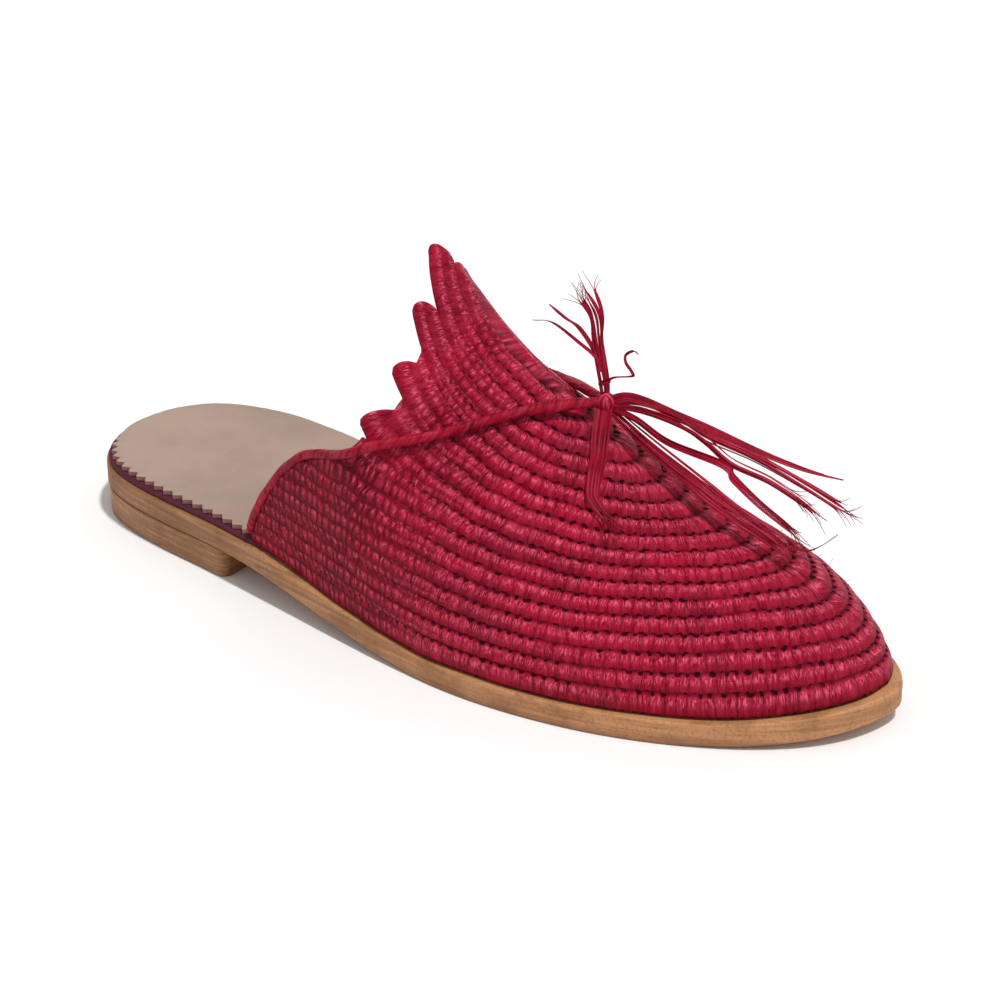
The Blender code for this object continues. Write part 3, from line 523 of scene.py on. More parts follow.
class BaboucheSizes(bpy.types.PropertyGroup):
    """Sizes that a maker would vary."""

    row_height: FloatProperty(
        name="Row height", description="How far a coil row stands out", default=ROW_HEIGHT / 1000,
        min=0.0, max=0.002, subtype="DISTANCE", unit="LENGTH")
    stitch: FloatProperty(
        name="Stitch", description="Distance from stitch to stitch along a row", default=STITCH / 1000,
        min=0.001, max=0.006, subtype="DISTANCE", unit="LENGTH")
    strips: IntProperty(
        name="Strips", description="Flat strips in a strand of the tassel", default=STRIPS, min=2, max=12)
    hairs: IntProperty(
        name="Loose fibres", description="Fine fibres that stand off the coil", default=150, min=0, max=600)


def colour(label, told, *value):
    """Property for a colour."""
    return FloatVectorProperty(name=label, description=told, default=(*value, 1.0), size=4, subtype="COLOR",
                               min=0.0, max=1.0)


class BaboucheColours(bpy.types.PropertyGroup):
    """Colours of the materials."""

    raffia: colour("Raffia", "Dyed raffia of the coil", 0.400, 0.0012, 0.024)
    # Colour of the painted highlights: glints on the coil's crests and fibres, sheen on the strips and cord.
    raffia_highlight: colour("Raffia light", "Worn, lighter fibres", 0.87, 0.090, 0.190)
    # Colour of the painted shade between stitches, in the grooves between rows and in the holes; also the
    # darker tone of fibres and patches.
    raffia_dark: colour("Raffia dark", "Between the rows and in the holes", 0.040, 0.0006, 0.006)
    strip: colour("Strip", "Flat raffia strips of the tassel", 0.400, 0.002, 0.026)
    insole: colour("Insole", "Pale lining leather", 0.428, 0.305, 0.240)
    sole: colour("Sole", "Tan sole leather", 0.50, 0.232, 0.098)
    rand: colour("Rand", "Dyed layer under the insole", 0.060, 0.003, 0.014)


def grid_faces(rows, columns, ring=False):
    """Quads of a grid of points stored row by row; with ring, the last column joins the first."""
    r, c = np.meshgrid(np.arange(rows - 1), np.arange(columns if ring else columns - 1), indexing="ij")
    here = r * columns + c
    right = r * columns + (c + 1) % columns
    return np.stack([here, right, right + columns, here + columns], axis=-1).reshape(-1, 4)


def make_piece(name, vertices, faces, uv=None, smooth_angle=60.0):
    """Mesh object from arrays: vertices in millimetres, faces as an array of quads or a list.

    uv holds one pair for each corner, in the order of the faces.
    """
    mesh = bpy.data.meshes.new(name)
    places = (np.asarray(vertices, float) - (HEEL_MIDDLE, 0, 0)) * 0.001
    mesh.from_pydata(places.tolist(), [], faces.tolist() if isinstance(faces, np.ndarray) else faces)
    if uv is not None:
        layer = mesh.uv_layers.new(name="UVMap")
        layer.data.foreach_set("uv", np.asarray(uv, np.float32).ravel())
    mesh.shade_smooth()
    mesh.set_sharp_from_angle(angle=math.radians(smooth_angle))
    piece = bpy.data.objects.new(name, mesh)
    bpy.context.scene.collection.objects.link(piece)
    return piece


def finish_piece(piece, look, slot, *nodes):
    """Give a piece its material, let it ride on the body and stand for its solids."""
    piece.data.materials.append(material(look))
    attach(piece, "root")
    if nodes:
        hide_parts(*nodes)


def layered(name, layers, smooth_angle=60.0):
    """Plate of stacked rings with caps of strips. UV is the way round in millimetres and the height."""
    count = len(layers[0])
    half = count // 2
    vertices = np.vstack(layers)
    sides = grid_faces(len(layers), count, ring=True)
    low = np.arange(half)
    strip = np.stack([low, low + 1, (count - low - 1) % count, (count - low) % count], axis=-1)
    top = strip + (len(layers) - 1) * count
    faces = [tuple(dict.fromkeys(f)) for f in sides.tolist() + strip[:, ::-1].tolist() + top.tolist()]
    ring = layers[-1][:, :2]
    way = way_along(np.vstack([ring, ring[:1]]))
    corner_way = []
    for f in faces:
        ids = np.array(f)
        w = way[ids % count]
        if w.max() - w.min() > way[-1] / 2 and len(f) == 4:
            w = np.where(w < way[-1] / 2, w + way[-1], w)
        corner_way.append(np.c_[w, vertices[ids, 2]])
    return make_piece(name, vertices, faces, np.vstack(corner_way), smooth_angle)


# ---- materials ----


def new_group(name, vector, numbers, outputs):
    """Node group that takes a vector and some numbers with their defaults, and gives numbers."""
    group = bpy.data.node_groups.new(name, "ShaderNodeTree")
    group.interface.new_socket(name=vector, in_out="INPUT", socket_type="NodeSocketVector")
    for label, value in numbers.items():
        socket = group.interface.new_socket(name=label, in_out="INPUT", socket_type="NodeSocketFloat")
        socket.default_value = value
    for label in outputs:
        group.interface.new_socket(name=label, in_out="OUTPUT", socket_type="NodeSocketFloat")
    come = group.nodes.new("NodeGroupInput").outputs
    go = group.nodes.new("NodeGroupOutput").inputs
    return Nodes(group), come, go


class Nodes:
    """Short ways to add linked nodes to a tree."""

    def __init__(self, tree):
        self.tree = tree

    def add(self, kind, **values):
        """A node of that kind, with its settings and its inputs set or linked by name."""
        node = self.tree.nodes.new(kind)
        for key, value in values.items():
            if hasattr(node, key) and key not in node.inputs:
                setattr(node, key, value)
            else:
                self.feed(node.inputs[key], value)
        return node

    def feed(self, socket, value):
        """Link another socket to this one, or set its value."""
        if isinstance(value, bpy.types.NodeSocket):
            self.tree.links.new(value, socket)
        else:
            socket.default_value = value

    def math(self, operation, *values):
        """One step of arithmetic."""
        node = self.add("ShaderNodeMath", operation=operation)
        for socket, value in zip(node.inputs, values):
            self.feed(socket, value)
        return node.outputs[0]

    def plus(self, first, *more):
        """Sum of the values, from left to right."""
        for value in more:
            first = self.math("ADD", first, value)
        return first

    def times(self, first, *more):
        """Product of the values, from left to right."""
        for value in more:
            first = self.math("MULTIPLY", first, value)
        return first

    def minus(self, first, second):
        """Difference of two values."""
        return self.math("SUBTRACT", first, second)

    def between(self, share, first, second):
        """first times share, plus second times what is left of 1."""
        return self.plus(self.times(first, share), self.times(second, self.minus(1.0, share)))

    def arch(self, share, power):
        """Half wave of a sine over a share from 0 to 1, raised to a power."""
        return self.math("POWER", self.math("SINE", self.times(share, math.pi)), power)

    def off_middle(self, value):
        """Distance of a value's fraction from a half."""
        return self.math("ABSOLUTE", self.minus(self.math("FRACT", value), 0.5))

    def ramp(self, value, low, high, to_low=0.0, to_high=1.0):
        """Smooth step of a value between two limits."""
        limits = {"From Min": low, "From Max": high, "To Min": to_low, "To Max": to_high}
        node = self.add("ShaderNodeMapRange", interpolation_type="SMOOTHSTEP", Value=value, **limits)
        return node.outputs["Result"]

    def noise(self, vector, scale, detail=3.0, roughness=0.55):
        """Value of a noise texture at a vector."""
        node = self.add("ShaderNodeTexNoise", Vector=vector, Scale=scale, Detail=detail, Roughness=roughness)
        return node.outputs["Fac"]

    def wander(self, vector, scale, detail, size):
        """Noise about nought, times a size."""
        return self.times(self.minus(self.noise(vector, scale, detail), 0.5), size)

    def random(self, number):
        """Random value of a number."""
        return self.add("ShaderNodeTexWhiteNoise", noise_dimensions="1D", W=number).outputs["Value"]

    def random_cell(self, x, y):
        """Random value of a pair of numbers."""
        node = self.add("ShaderNodeTexWhiteNoise", noise_dimensions="2D", Vector=self.vector(x, y))
        return node.outputs["Value"]

    def mix(self, share, first, second):
        """Two colours mixed."""
        node = self.add("ShaderNodeMix", data_type="RGBA", Factor=share)
        self.feed(node.inputs[6], first)
        self.feed(node.inputs[7], second)
        return node.outputs[2]

    def tint(self, base, colour, value, low, high, share):
        """A base with a colour mixed in, up to a share, as a value goes from low to high."""
        return self.mix(self.times(self.ramp(value, low, high), share), base, colour)

    def vector(self, x, y, z=0.0):
        """A vector from three values."""
        return self.add("ShaderNodeCombineXYZ", X=x, Y=y, Z=z).outputs[0]

    def split(self, vector):
        """The three values of a vector."""
        return self.add("ShaderNodeSeparateXYZ", Vector=vector).outputs

    def stretched(self, vector, scale):
        """A vector with its three values multiplied."""
        return self.add("ShaderNodeMapping", vector_type="POINT", Vector=vector, Scale=scale).outputs[0]

    def uv(self):
        """The piece's own UV."""
        return self.add("ShaderNodeUVMap", uv_map="UVMap").outputs["UV"]

    def spot(self):
        """The place on the piece, in metres."""
        return self.add("ShaderNodeTexCoord").outputs["Object"]

    def attribute(self, name):
        """Value of one of the piece's own attributes."""
        return self.add("ShaderNodeAttribute", attribute_name=name).outputs["Fac"]

    def group(self, name, **links):
        """Outputs of a node group whose inputs are linked."""
        node = self.tree.nodes.new("ShaderNodeGroup")
        node.node_tree = bpy.data.node_groups[name]
        for key, value in links.items():
            self.feed(node.inputs[key], value)
        return node.outputs

    def surface(self, base, height, depth, strength, roughness, specular):
        """Feed the shader; the normal comes from a height, of a depth in metres."""
        normal = self.add("ShaderNodeBump", Height=height, Distance=depth, Strength=strength)
        shader = self.tree.nodes["Principled BSDF"]
        self.feed(shader.inputs["Base Color"], base)
        self.feed(shader.inputs["Normal"], normal.outputs["Normal"])
        self.feed(shader.inputs["Roughness"], roughness)
        self.feed(shader.inputs["Specular IOR Level"], specular)


def fibre_group():
    """Fine fibres that run along one direction: height, and a mask for painted glints, from stretched noise.
    """
    n, come, go = new_group("fibres", "Vector", {"Across": 12.0, "Along": 1.0}, ("Height", "Light"))
    x, y, z = n.split(come["Vector"])
    fine = n.vector(n.times(x, come["Across"]), n.times(y, come["Along"]), z)
    small = n.noise(fine, 1.0, 4.0, 0.65)
    broad = n.noise(fine, 0.23, 2.0, 0.5)
    n.feed(go["Height"], n.plus(n.times(small, 0.6), n.times(broad, 0.4)))
    n.feed(go["Light"], n.ramp(n.plus(n.times(small, 0.5), n.times(broad, 0.5)), 0.40, 0.66))


def stitch_group():
    """Stitches over a coil row. UV x counts stitches along the row, y counts rows.

    A stitch is the round of a sine between two whole numbers of the count. Where Open is 1 the
    stitches are wide, with small oval holes on the line between two rows. Where it is 0 they are
    close set, in finer rows of their own. Where Plain is 1 they are wide and there are no holes.
    """
    n, come, go = new_group("coil_stitches", "UV", {"Open": 1.0, "Plain": 0.0, "Close": 1.35},
                            ("Height", "Hole", "Crest", "Count", "Row", "Tone"))
    u, v, _ = n.split(come["UV"])

    row = n.math("FLOOR", v)
    across = n.minus(v, row)
    wander = n.wander(n.vector(u, n.times(row, 3.7)), 0.55, 1.0, 1.3)
    lean = n.wander(n.vector(u, row, 5.0), 0.8, 0.0, n.times(n.minus(across, 0.5), 0.9))
    count = n.plus(u, n.random(row), wander, lean)

    wobble = n.wander(n.vector(u, v, 7.0), 0.7, 1.0, 0.55)
    fine = n.plus(n.times(v, FINE_ROWS), wobble)
    fine_row = n.math("FLOOR", fine)
    fine_across = n.minus(fine, fine_row)
    fine_wander = n.wander(n.vector(u, n.times(fine_row, 2.9)), 0.9, 1.0, 1.6)
    fine_lean = n.times(n.minus(fine_across, 0.5), 0.42)
    fine_count = n.plus(n.times(u, come["Close"]),
                        n.plus(n.random(fine_row), n.plus(fine_wander, fine_lean)))

    shaky = n.wander(n.vector(u, v, 9.0), 3.0, 1.0, 0.35)
    close = n.arch(n.math("FRACT", n.plus(fine_count, shaky)), 1.05)
    wide = n.arch(n.math("FRACT", n.plus(count, shaky)), 0.5)
    share = n.math("MAXIMUM", come["Open"], come["Plain"])
    place = n.between(share, across, fine_across)
    # The upper part of each stitch, where the coil material paints its highlight.
    upper = n.times(n.ramp(place, 0.30, 0.58), n.ramp(place, 0.92, 0.70))
    n.feed(go["Height"], n.plus(
        n.times(wide, n.arch(across, 0.6), share),
        n.times(close, n.arch(fine_across, 0.85), n.minus(1.0, share))))
    n.feed(go["Crest"], n.times(n.between(share, wide, close), upper))
    n.feed(go["Tone"], n.random_cell(n.math("FLOOR", fine_count), fine_row))

    line = n.plus(v, 0.56)
    line_row = n.math("FLOOR", line)
    line_wander = n.wander(n.vector(u, n.times(line_row, 3.7)), 0.55, 1.0, 1.3)
    line_count = n.plus(u, n.random(line_row), line_wander)
    pick = n.random_cell(n.math("FLOOR", line_count), line_row)
    size = n.plus(n.times(pick, 0.35), 0.62)
    oval = n.math("SQRT", n.plus(*(
        n.math("POWER", n.math("DIVIDE", n.off_middle(value), half), 2.0)
        for value, half in ((line_count, 0.27), (line, 0.16)))))
    patches = n.noise(n.vector(u, line_row, 3.0), 0.25, 1.0)
    chance = n.ramp(n.plus(patches, n.times(pick, 0.25)), 0.44, 0.62)
    deep = n.ramp(n.math("DIVIDE", n.plus(oval, shaky), size), 1.15, 0.55)
    n.feed(go["Hole"], n.times(deep, n.times(chance, come["Open"])))
    n.feed(go["Count"], count)
    n.feed(go["Row"], across)


def start_material(name):
    """Material with nothing in it but its shader, and the ways to add to it."""
    made = bpy.data.materials.new(name)
    made.use_nodes = True
    return made, Nodes(made.node_tree)


def scaled(colour, *factors):
    """Colour with its channels multiplied, each at most 1."""
    return tuple(min(c * k, 1.0) for c, k in zip(colour[:3], factors)) + (1.0,)


def coil_material(name, colours):
    """Stitched raffia: stitches and fibres across the rows, painted highlights on crests and fibres, painted
    shade in the lines and holes.

    Where the coil is close set, and up in the crown, crests are duller and the lines of painted shade less
    deep.
    """
    made, n = start_material(name)
    uv = n.uv()
    v = n.split(uv)[1]
    opening = n.attribute("open")
    crown = n.attribute("crown")
    weave = n.group("coil_stitches", UV=uv, Open=opening, Plain=crown)
    count, hole = weave["Count"], weave["Hole"]
    # Strength of the stitch lumps, both their bump and their painted shade: full where close set, weaker
    # where open, weakest in the crown.
    lump_strength = n.times(n.ramp(opening, 0.0, 1.0, 1.0, 0.40), n.ramp(crown, 0.0, 1.0, 1.0, 0.14))
    fibres = n.group("fibres", Vector=n.vector(count, v), Across=10.0, Along=2.2)
    spot = n.spot()
    dark, light = colours.raffia_dark, colours.raffia_highlight
    deeper = n.mix(0.40, colours.raffia, dark)
    toe = n.ramp(n.split(spot)[0], *TOE_SHADE, 0.0, 0.55)
    patch = n.ramp(n.noise(spot, 60.0, 3.0), 0.38, 0.66)
    base = n.mix(n.math("MAXIMUM", patch, toe), colours.raffia, deeper)
    base = n.tint(base, deeper, weave["Tone"], 0.55, 1.0, 0.30)
    base = n.tint(base, dark, fibres["Height"], 0.50, 0.36, 0.42)
    # Painted highlight: glinting fibre flecks mixed to the highlight colour.
    base = n.mix(n.times(fibres["Light"], 0.20), base, light)
    # Painted highlight: glint streaks on the upper part of each stitch, full where the stitches open and in
    # the crown, three quarters elsewhere.
    streak = n.noise(n.vector(n.times(count, 7.0), n.times(v, 2.4), 1.0), 1.0, 3.0, 0.7)
    bright = n.ramp(n.math("MAXIMUM", opening, crown), 0.0, 1.0, 0.75, 1.0)
    lit = n.times(n.ramp(streak, 0.46, 0.60), weave["Crest"], bright)
    base = n.mix(n.times(lit, 0.80), base, light)
    # Painted shade: darker where a stitch is low, towards its edges, more so where the lumps are strong.
    shade = n.times(n.ramp(weave["Height"], 0.80, 0.05), n.ramp(lump_strength, 0.0, 1.0, 0.08, 0.58))
    base = n.mix(shade, base, dark)
    # Painted shade: a dark line in the groove between rows, where the stitches open.
    edge = n.ramp(n.math("ABSOLUTE", n.minus(weave["Row"], 0.5)), 0.34, 0.50)
    base = n.mix(n.times(edge, n.ramp(opening, 0.0, 1.0, 0.0, 0.40)), base, dark)
    # Painted shade in the holes between rows.
    base = n.mix(hole, base, dark)
    height = n.plus(n.times(weave["Height"], lump_strength), n.times(fibres["Height"], 0.75))
    height = n.minus(height, n.times(hole, 1.1))
    rough = n.plus(n.times(fibres["Height"], 0.40), 0.24, n.times(hole, 0.5))
    n.surface(base, height, 0.0010, 1.0, rough, n.plus(n.times(lit, 0.40), 0.08))
    return made


def strip_material(name, colours, along, twist, shine):
    """Flat raffia strips or rolled cord. UV x runs along and y round, in millimetres.

    Fibres run along, or slant with the twist, and the highlight colour is mixed in over the glinting ones up
    to a share, the shine, as painted sheen.
    """
    made, n = start_material(name)
    x, y, _ = n.split(n.uv())
    turned = n.plus(y, n.times(x, twist))
    fibres = n.group("fibres", Vector=n.vector(turned, x), Across=3.2, Along=along)
    height, light = fibres["Height"], fibres["Light"]
    dull = n.mix(0.6, colours.raffia, colours.raffia_dark)
    base = n.tint(colours.strip, dull, n.noise(n.spot(), 90.0, 2.0), 0.35, 0.7, 0.6)
    base = n.tint(base, colours.raffia_dark, height, 0.52, 0.36, 0.75)
    # Painted sheen: the highlight colour over the glinting fibres.
    base = n.tint(base, colours.raffia_highlight, light, 0.35, 0.85, shine)
    rough = n.plus(n.times(height, 0.3), 0.24)
    n.surface(base, height, 0.0006, 0.9, rough, n.plus(n.times(light, 0.25), 0.08))
    return made


def insole_material(name, colours):
    """Pale lining leather: fine grain, faint mottling, and darker and browner where its face turns from
    upward, as on the cut edge.
    """
    made, n = start_material(name)
    spot = n.spot()
    cloudy = n.noise(spot, 28.0, 4.0)
    pores = n.noise(spot, 1400.0, 3.0, 0.6)
    hair = n.noise(n.stretched(spot, (260, 1500, 1)), 1.0, 2.0)
    darker = scaled(colours.insole, 0.80, 0.80, 0.80)
    base = n.mix(n.ramp(cloudy, 0.3, 0.75), colours.insole, darker)
    base = n.tint(base, darker, hair, 0.45, 0.75, 0.22)
    # Darker and browner as the face turns from upward.
    facing = n.split(n.add("ShaderNodeTexCoord").outputs["Normal"])[2]
    base = n.mix(n.ramp(facing, 0.55, 0.15), base, scaled(colours.insole, 0.62, 0.40, 0.42))
    n.surface(base, pores, 0.0002, 0.35, n.ramp(cloudy, 0.3, 0.7, 0.50, 0.62), 0.35)
    return made


def sole_material(name, colours):
    """Tan sole leather: layered streaks along the edge, painted shade towards the heel and painted shadow
    towards the floor.
    """
    made, n = start_material(name)
    spot = n.spot()
    x, _, z = n.split(spot)
    layers = n.noise(n.stretched(spot, (28, 28, 800)), 1.0, 4.0, 0.65)
    speck = n.noise(spot, 1100.0, 3.0, 0.65)
    cloudy = n.noise(spot, 70.0, 4.0, 0.6)
    dark = scaled(colours.sole, 0.40, 0.36, 0.34)
    light = scaled(colours.sole, 1.25, 1.35, 1.5)
    # Painted shade: darker towards the heel.
    heel_shade = n.ramp(n.plus(x, n.times(cloudy, 0.06)), 0.03, 0.20, 0.62, 0.0)
    base = n.mix(heel_shade, colours.sole, dark)
    base = n.tint(base, light, layers, 0.47, 0.60, 0.45)
    base = n.tint(base, dark, layers, 0.50, 0.38, 0.38)
    base = n.tint(base, dark, speck, 0.50, 0.66, 0.40)
    base = n.tint(base, dark, cloudy, 0.47, 0.62, 0.42)
    # Painted shadow: darker in the last few millimetres above the floor.
    base = n.mix(n.ramp(z, 0.0035, 0.0, 0.0, 0.55), base, dark)
    height = n.plus(n.times(layers, 0.6), n.times(speck, 0.4))
    n.surface(base, height, 0.0004, 0.6, n.ramp(cloudy, 0.3, 0.7, 0.45, 0.62), 0.3)
    return made


def rand_material(name, colours):
    """Dyed split leather: rough and dark."""
    made, n = start_material(name)
    fuzzy = n.noise(n.spot(), 700.0, 4.0, 0.7)
    base = n.mix(n.ramp(fuzzy, 0.40, 0.70), colours.rand, scaled(colours.rand, 2.2, 2.2, 2.2))
    n.surface(base, fuzzy, 0.0005, 0.6, n.ramp(fuzzy, 0.3, 0.7, 0.75, 0.95), 0.5)
    return made


MAKERS = {
    "coiled_raffia": (coil_material,),
    # Numbers for the strips: fibres along, twist, and the share of painted sheen.
    "cord_raffia": (strip_material, 0.5, 0.9, 0.06),
    "flat_raffia": (strip_material, 0.06, 0.0, 0.45),
    "lining_leather": (insole_material,),
    "tan_sole_leather": (sole_material,),
    "rand_leather": (rand_material,),
}


def material(name):
    """One of the materials by its name, made once with the panel's colours."""
    known = bpy.data.materials.get(name)
    if known:
        return known
    if "fibres" not in bpy.data.node_groups:
        fibre_group()
        stitch_group()
    maker, *values = MAKERS[name]
    return maker(name, bpy.context.scene.babouche_colours, *values)


# ---- pieces ----


def tip_columns(line, inner):
    """Mesh columns and lengths past the root at which a line passes each finger's end.

    Across a finger the end runs straight from its near to its far corner, less a quarter of a
    circle of TIP_ROUND at each corner.
    """
    tips = TIPS[inner]
    columns, lengths = [0], [0.0]
    for number, (low, count, near, far) in enumerate(tips):
        if line < low:
            break
        last = number == len(tips) - 1
        top = ROWS if last else tips[number + 1][0]
        across = min((line - low) / (top - low), 1.0)
        off_middle = across - 1 if last else 2 * across - 1
        joined = number > 0 and tips[number - 1][1] == count
        cut = 0.0 if joined else TIP_ROUND * (1 - math.sqrt(max(1 - off_middle ** 2, 0.0)))
        length = near + (far - near) * across - cut
        if joined:
            lengths[-1] = length
        else:
            columns.append(count)
            lengths.append(max(length, lengths[-1] + SHORTEST_TIP))
    return columns, lengths


def skin_lines(lines, inner):
    """Points of the coil's lines on one side, padded to a full grid, and each line's last column.

    A line's samples lie at its nose's station less the share to the power LEG_POWER of the way to
    its root. It is then walked evenly by length from the ridge to the root, and through its finger.
    """
    tips = TIPS[inner]
    longest = LEG_STEPS + max(tip[1] for tip in tips)
    grid = np.zeros((len(lines), longest + 1, 3))
    ends = np.zeros(len(lines), int)
    for row, line in enumerate(lines):
        nose = np.interp(line, range(ROWS + 1), NOSES)
        root = float(through(line, QUARTERS[inner], 1))
        leg = nose - (nose - root) * np.linspace(0, 1, LEG_SAMPLES + 1) ** LEG_POWER
        beyond = np.linspace(root, min(LAST_STATION, root - 0.01), TIP_SAMPLES + 1)[1:]
        x = np.r_[leg, beyond] * LENGTH
        points = coil_point(line, x, inner)
        way = way_along(points)
        columns, lengths = tip_columns(line, inner)
        root_way = way[LEG_SAMPLES]
        aslant = smooth_step(line, ASLANT[0], ASLANT[1]) * smooth_step(line, ASLANT[3], ASLANT[2])
        hidden = (UNDER_CORD + UNDER_CORD_MORE * aslant) * float(line < tips[0][0])
        at = np.linspace(0, root_way + hidden, LEG_STEPS + 1)
        if columns[-1] > 0:
            at = np.r_[at, root_way + np.interp(np.arange(1, columns[-1] + 1), columns, lengths)]
        ends[row] = len(at) - 1
        at = np.r_[at, np.full(longest + 1 - len(at), at[-1])]
        grid[row] = coil_point(line, np.interp(at, way, x), inner)
    return grid, ends


def last_column(line, inner):
    """Last mesh column of the strip that starts on this line."""
    columns = LEG_STEPS
    for low, count, *_ in TIPS[inner]:
        if line >= low:
            columns = LEG_STEPS + count
    return columns


def rim_distance(lines, way, ends, inner):
    """Distance to the nearest free rim: the line's own end, or the lower side of its finger."""
    reach = np.abs(way[np.arange(len(lines)), ends][:, None] - way)
    column = np.arange(way.shape[1])[None, :] - LEG_STEPS
    above = lines[:, None]
    before = 0
    for low, count, *_ in TIPS[inner]:
        own = (column > before) & (column <= count) & (above >= low)
        reach = np.where(own, np.minimum(reach, (above - low) * ROW_PITCH), reach)
        before = count
    return reach


def build_upper(sizes):
    """Coiled wall: a grid of coil lines and steps on each side, welded along the ridge and the last line.

    A corner's place along its row is that of the row's middle line plus the part of its offset from
    there that lies along the row, so stitches stand square to the row.
    """
    lines = np.linspace(0, ROWS, ROWS * LINES_PER_ROW + 1)
    sides = [skin_lines(lines, inner) for inner in (False, True)]
    rows = len(lines)
    columns = [grid.shape[1] for grid, _ in sides]
    index = [np.arange(rows * count).reshape(rows, count) for count in columns]
    index[1] += index[0].size
    index[1][:, 0] = index[0][:, 0]
    shared = min(columns)
    index[1][-1, :shared] = index[0][-1, :shared]
    middle = np.vstack([grid.reshape(-1, 3) for grid, _ in sides])
    line_of = np.concatenate([np.repeat(lines, count) for count in columns])
    rim = np.full(len(middle), 1e3)
    past = np.full(len(middle), -1e3)
    stitch = sizes.stitch * 1000
    quads, corners_uv = [], []
    for side, inner in enumerate((False, True)):
        grid, ends = sides[side]
        steps = np.linalg.norm(np.diff(grid, axis=1), axis=2)
        way = np.concatenate([np.zeros((rows, 1)), np.cumsum(steps, axis=1)], axis=1)
        cells = np.array([last_column(line, inner) for line in lines[:-1]])
        r, c = np.nonzero(np.arange(columns[side] - 1)[None, :] < cells[:, None])
        corner_r = np.stack([r, r, r + 1, r + 1], axis=-1)
        corner_c = np.stack([c, c + 1, c + 1, c], axis=-1)
        if not inner:
            corner_r, corner_c = corner_r[:, ::-1], corner_c[:, ::-1]
        quads.append(index[side][corner_r, corner_c])
        row_of = r // LINES_PER_ROW
        centre = row_of * LINES_PER_ROW + LINES_PER_ROW // 2
        heading = np.gradient(grid, axis=1)
        heading /= np.maximum(np.linalg.norm(heading, axis=2), 1e-9)[..., None]
        line_4 = np.repeat(centre[:, None], 4, axis=1)
        offset = grid[corner_r, corner_c] - grid[line_4, corner_c]
        square = way[line_4, corner_c] + (offset * heading[line_4, corner_c]).sum(axis=-1)
        sign = 1.0 if inner else -1.0
        corners_uv.append(np.stack([sign * square / stitch, lines[corner_r]], axis=-1))
        np.minimum.at(rim, index[side].ravel(), rim_distance(lines, way, ends, inner).ravel())
        np.maximum.at(past, index[side].ravel(), (way - way[:, [LEG_STEPS]]).ravel())
    return wall(middle, np.vstack(quads), line_of, rim, past, np.vstack(corners_uv).reshape(-1, 2), sizes)


def wall(middle, quads, line, rim, past, corners_uv, sizes):
    """Closed wall from the skin, with row relief, rounded rims and a smoother inside.

    Outside, a point stands off the mean face by the row height times |sin(pi line)| to the power
    ROW_ROUND, less ROW_MEAN; inside the rows are half as deep. The row height is lower over the
    quarters. In the crown half of the relief is that of a finger two rows wide. Towards a free rim
    both faces meet on a quarter of an ellipse.
    """
    used, compact = np.unique(quads, return_inverse=True)
    quads = compact.reshape(-1, 4)
    middle, line, rim, past = middle[used], line[used], rim[used], past[used]
    corners = middle[quads]
    flat = np.cross(corners[:, 2] - corners[:, 0], corners[:, 3] - corners[:, 1])
    normal = np.zeros_like(middle)
    for c in range(4):
        np.add.at(normal, quads[:, c], flat)
    normal[line == 0, 2] = 0.0
    normal /= np.maximum(np.linalg.norm(normal, axis=1), 1e-9)[:, None]
    first = OUTER_TIPS[0][0]
    lead = FAR_LEAD * smooth_step(middle[:, 1], 0, 6)
    crown = smooth_step(past + lead, -CROWN_BLEND, 0) * (line > first - 0.5)
    paired = smooth_step(past, -PAIR_BLEND, 2) * (line > first)
    row = np.abs(np.sin(math.pi * line)) ** ROW_ROUND
    pair = np.abs(np.sin(math.pi * (line - first) / 2)) ** ROW_ROUND
    row = row + (pair * 1.1 - row) * 0.5 * paired
    near = np.clip(1 - rim / RIM, 0, 1)
    pinch = (1 - np.sqrt(1 - near ** 2)) * np.where(line < first, EDGE_PINCH, 1.0)
    station = middle[:, 0]
    risen = QUARTER_RELIEF + (1 - QUARTER_RELIEF) * smooth_step(station, *RELIEF_RISE)
    high = sizes.row_height * 1000 * risen
    outside = (row - ROW_MEAN) * high
    inside = -WALL - (row - ROW_MEAN) * high * INSIDE_SHARE
    centre = (outside + inside) / 2
    outside = outside + (centre - outside) * pinch * PINCH
    inside = inside + (centre - inside) * pinch * PINCH
    middle[:, 2] -= ROW_DROP * np.clip(1 - line / 0.6, 0, 1) * smooth_step(station, *SKIRT)
    count = len(middle)
    vertices = np.vstack([middle + normal * outside[:, None], middle + normal * inside[:, None]])
    edges = np.concatenate([np.stack([quads[:, k], quads[:, (k + 1) % 4]], axis=-1) for k in range(4)])
    key = edges[:, 0] * count + edges[:, 1]
    back = edges[:, 1] * count + edges[:, 0]
    free = edges[~np.isin(key, back)]
    rims = np.stack([free[:, 1], free[:, 0], free[:, 0] + count, free[:, 1] + count], axis=-1)
    faces = np.vstack([quads, quads[:, ::-1] + count, rims])
    flipped = corners_uv.reshape(-1, 4, 2)[:, ::-1].reshape(-1, 2)
    rim_uv = np.stack([np.zeros(len(rims) * 4), np.repeat(line[free].mean(axis=1), 4)], axis=-1)
    piece = make_piece("upper_coil", vertices, faces, np.vstack([corners_uv, flipped, rim_uv]), 80.0)
    opened = smooth_step(station, *OPEN_RISE) * (1 - crown)
    for label, values in (("open", opened), ("crown", crown)):
        attribute = piece.data.attributes.new(label, "FLOAT", "POINT")
        attribute.data.foreach_set("value", np.tile(values, 2).astype(np.float32))
    return piece


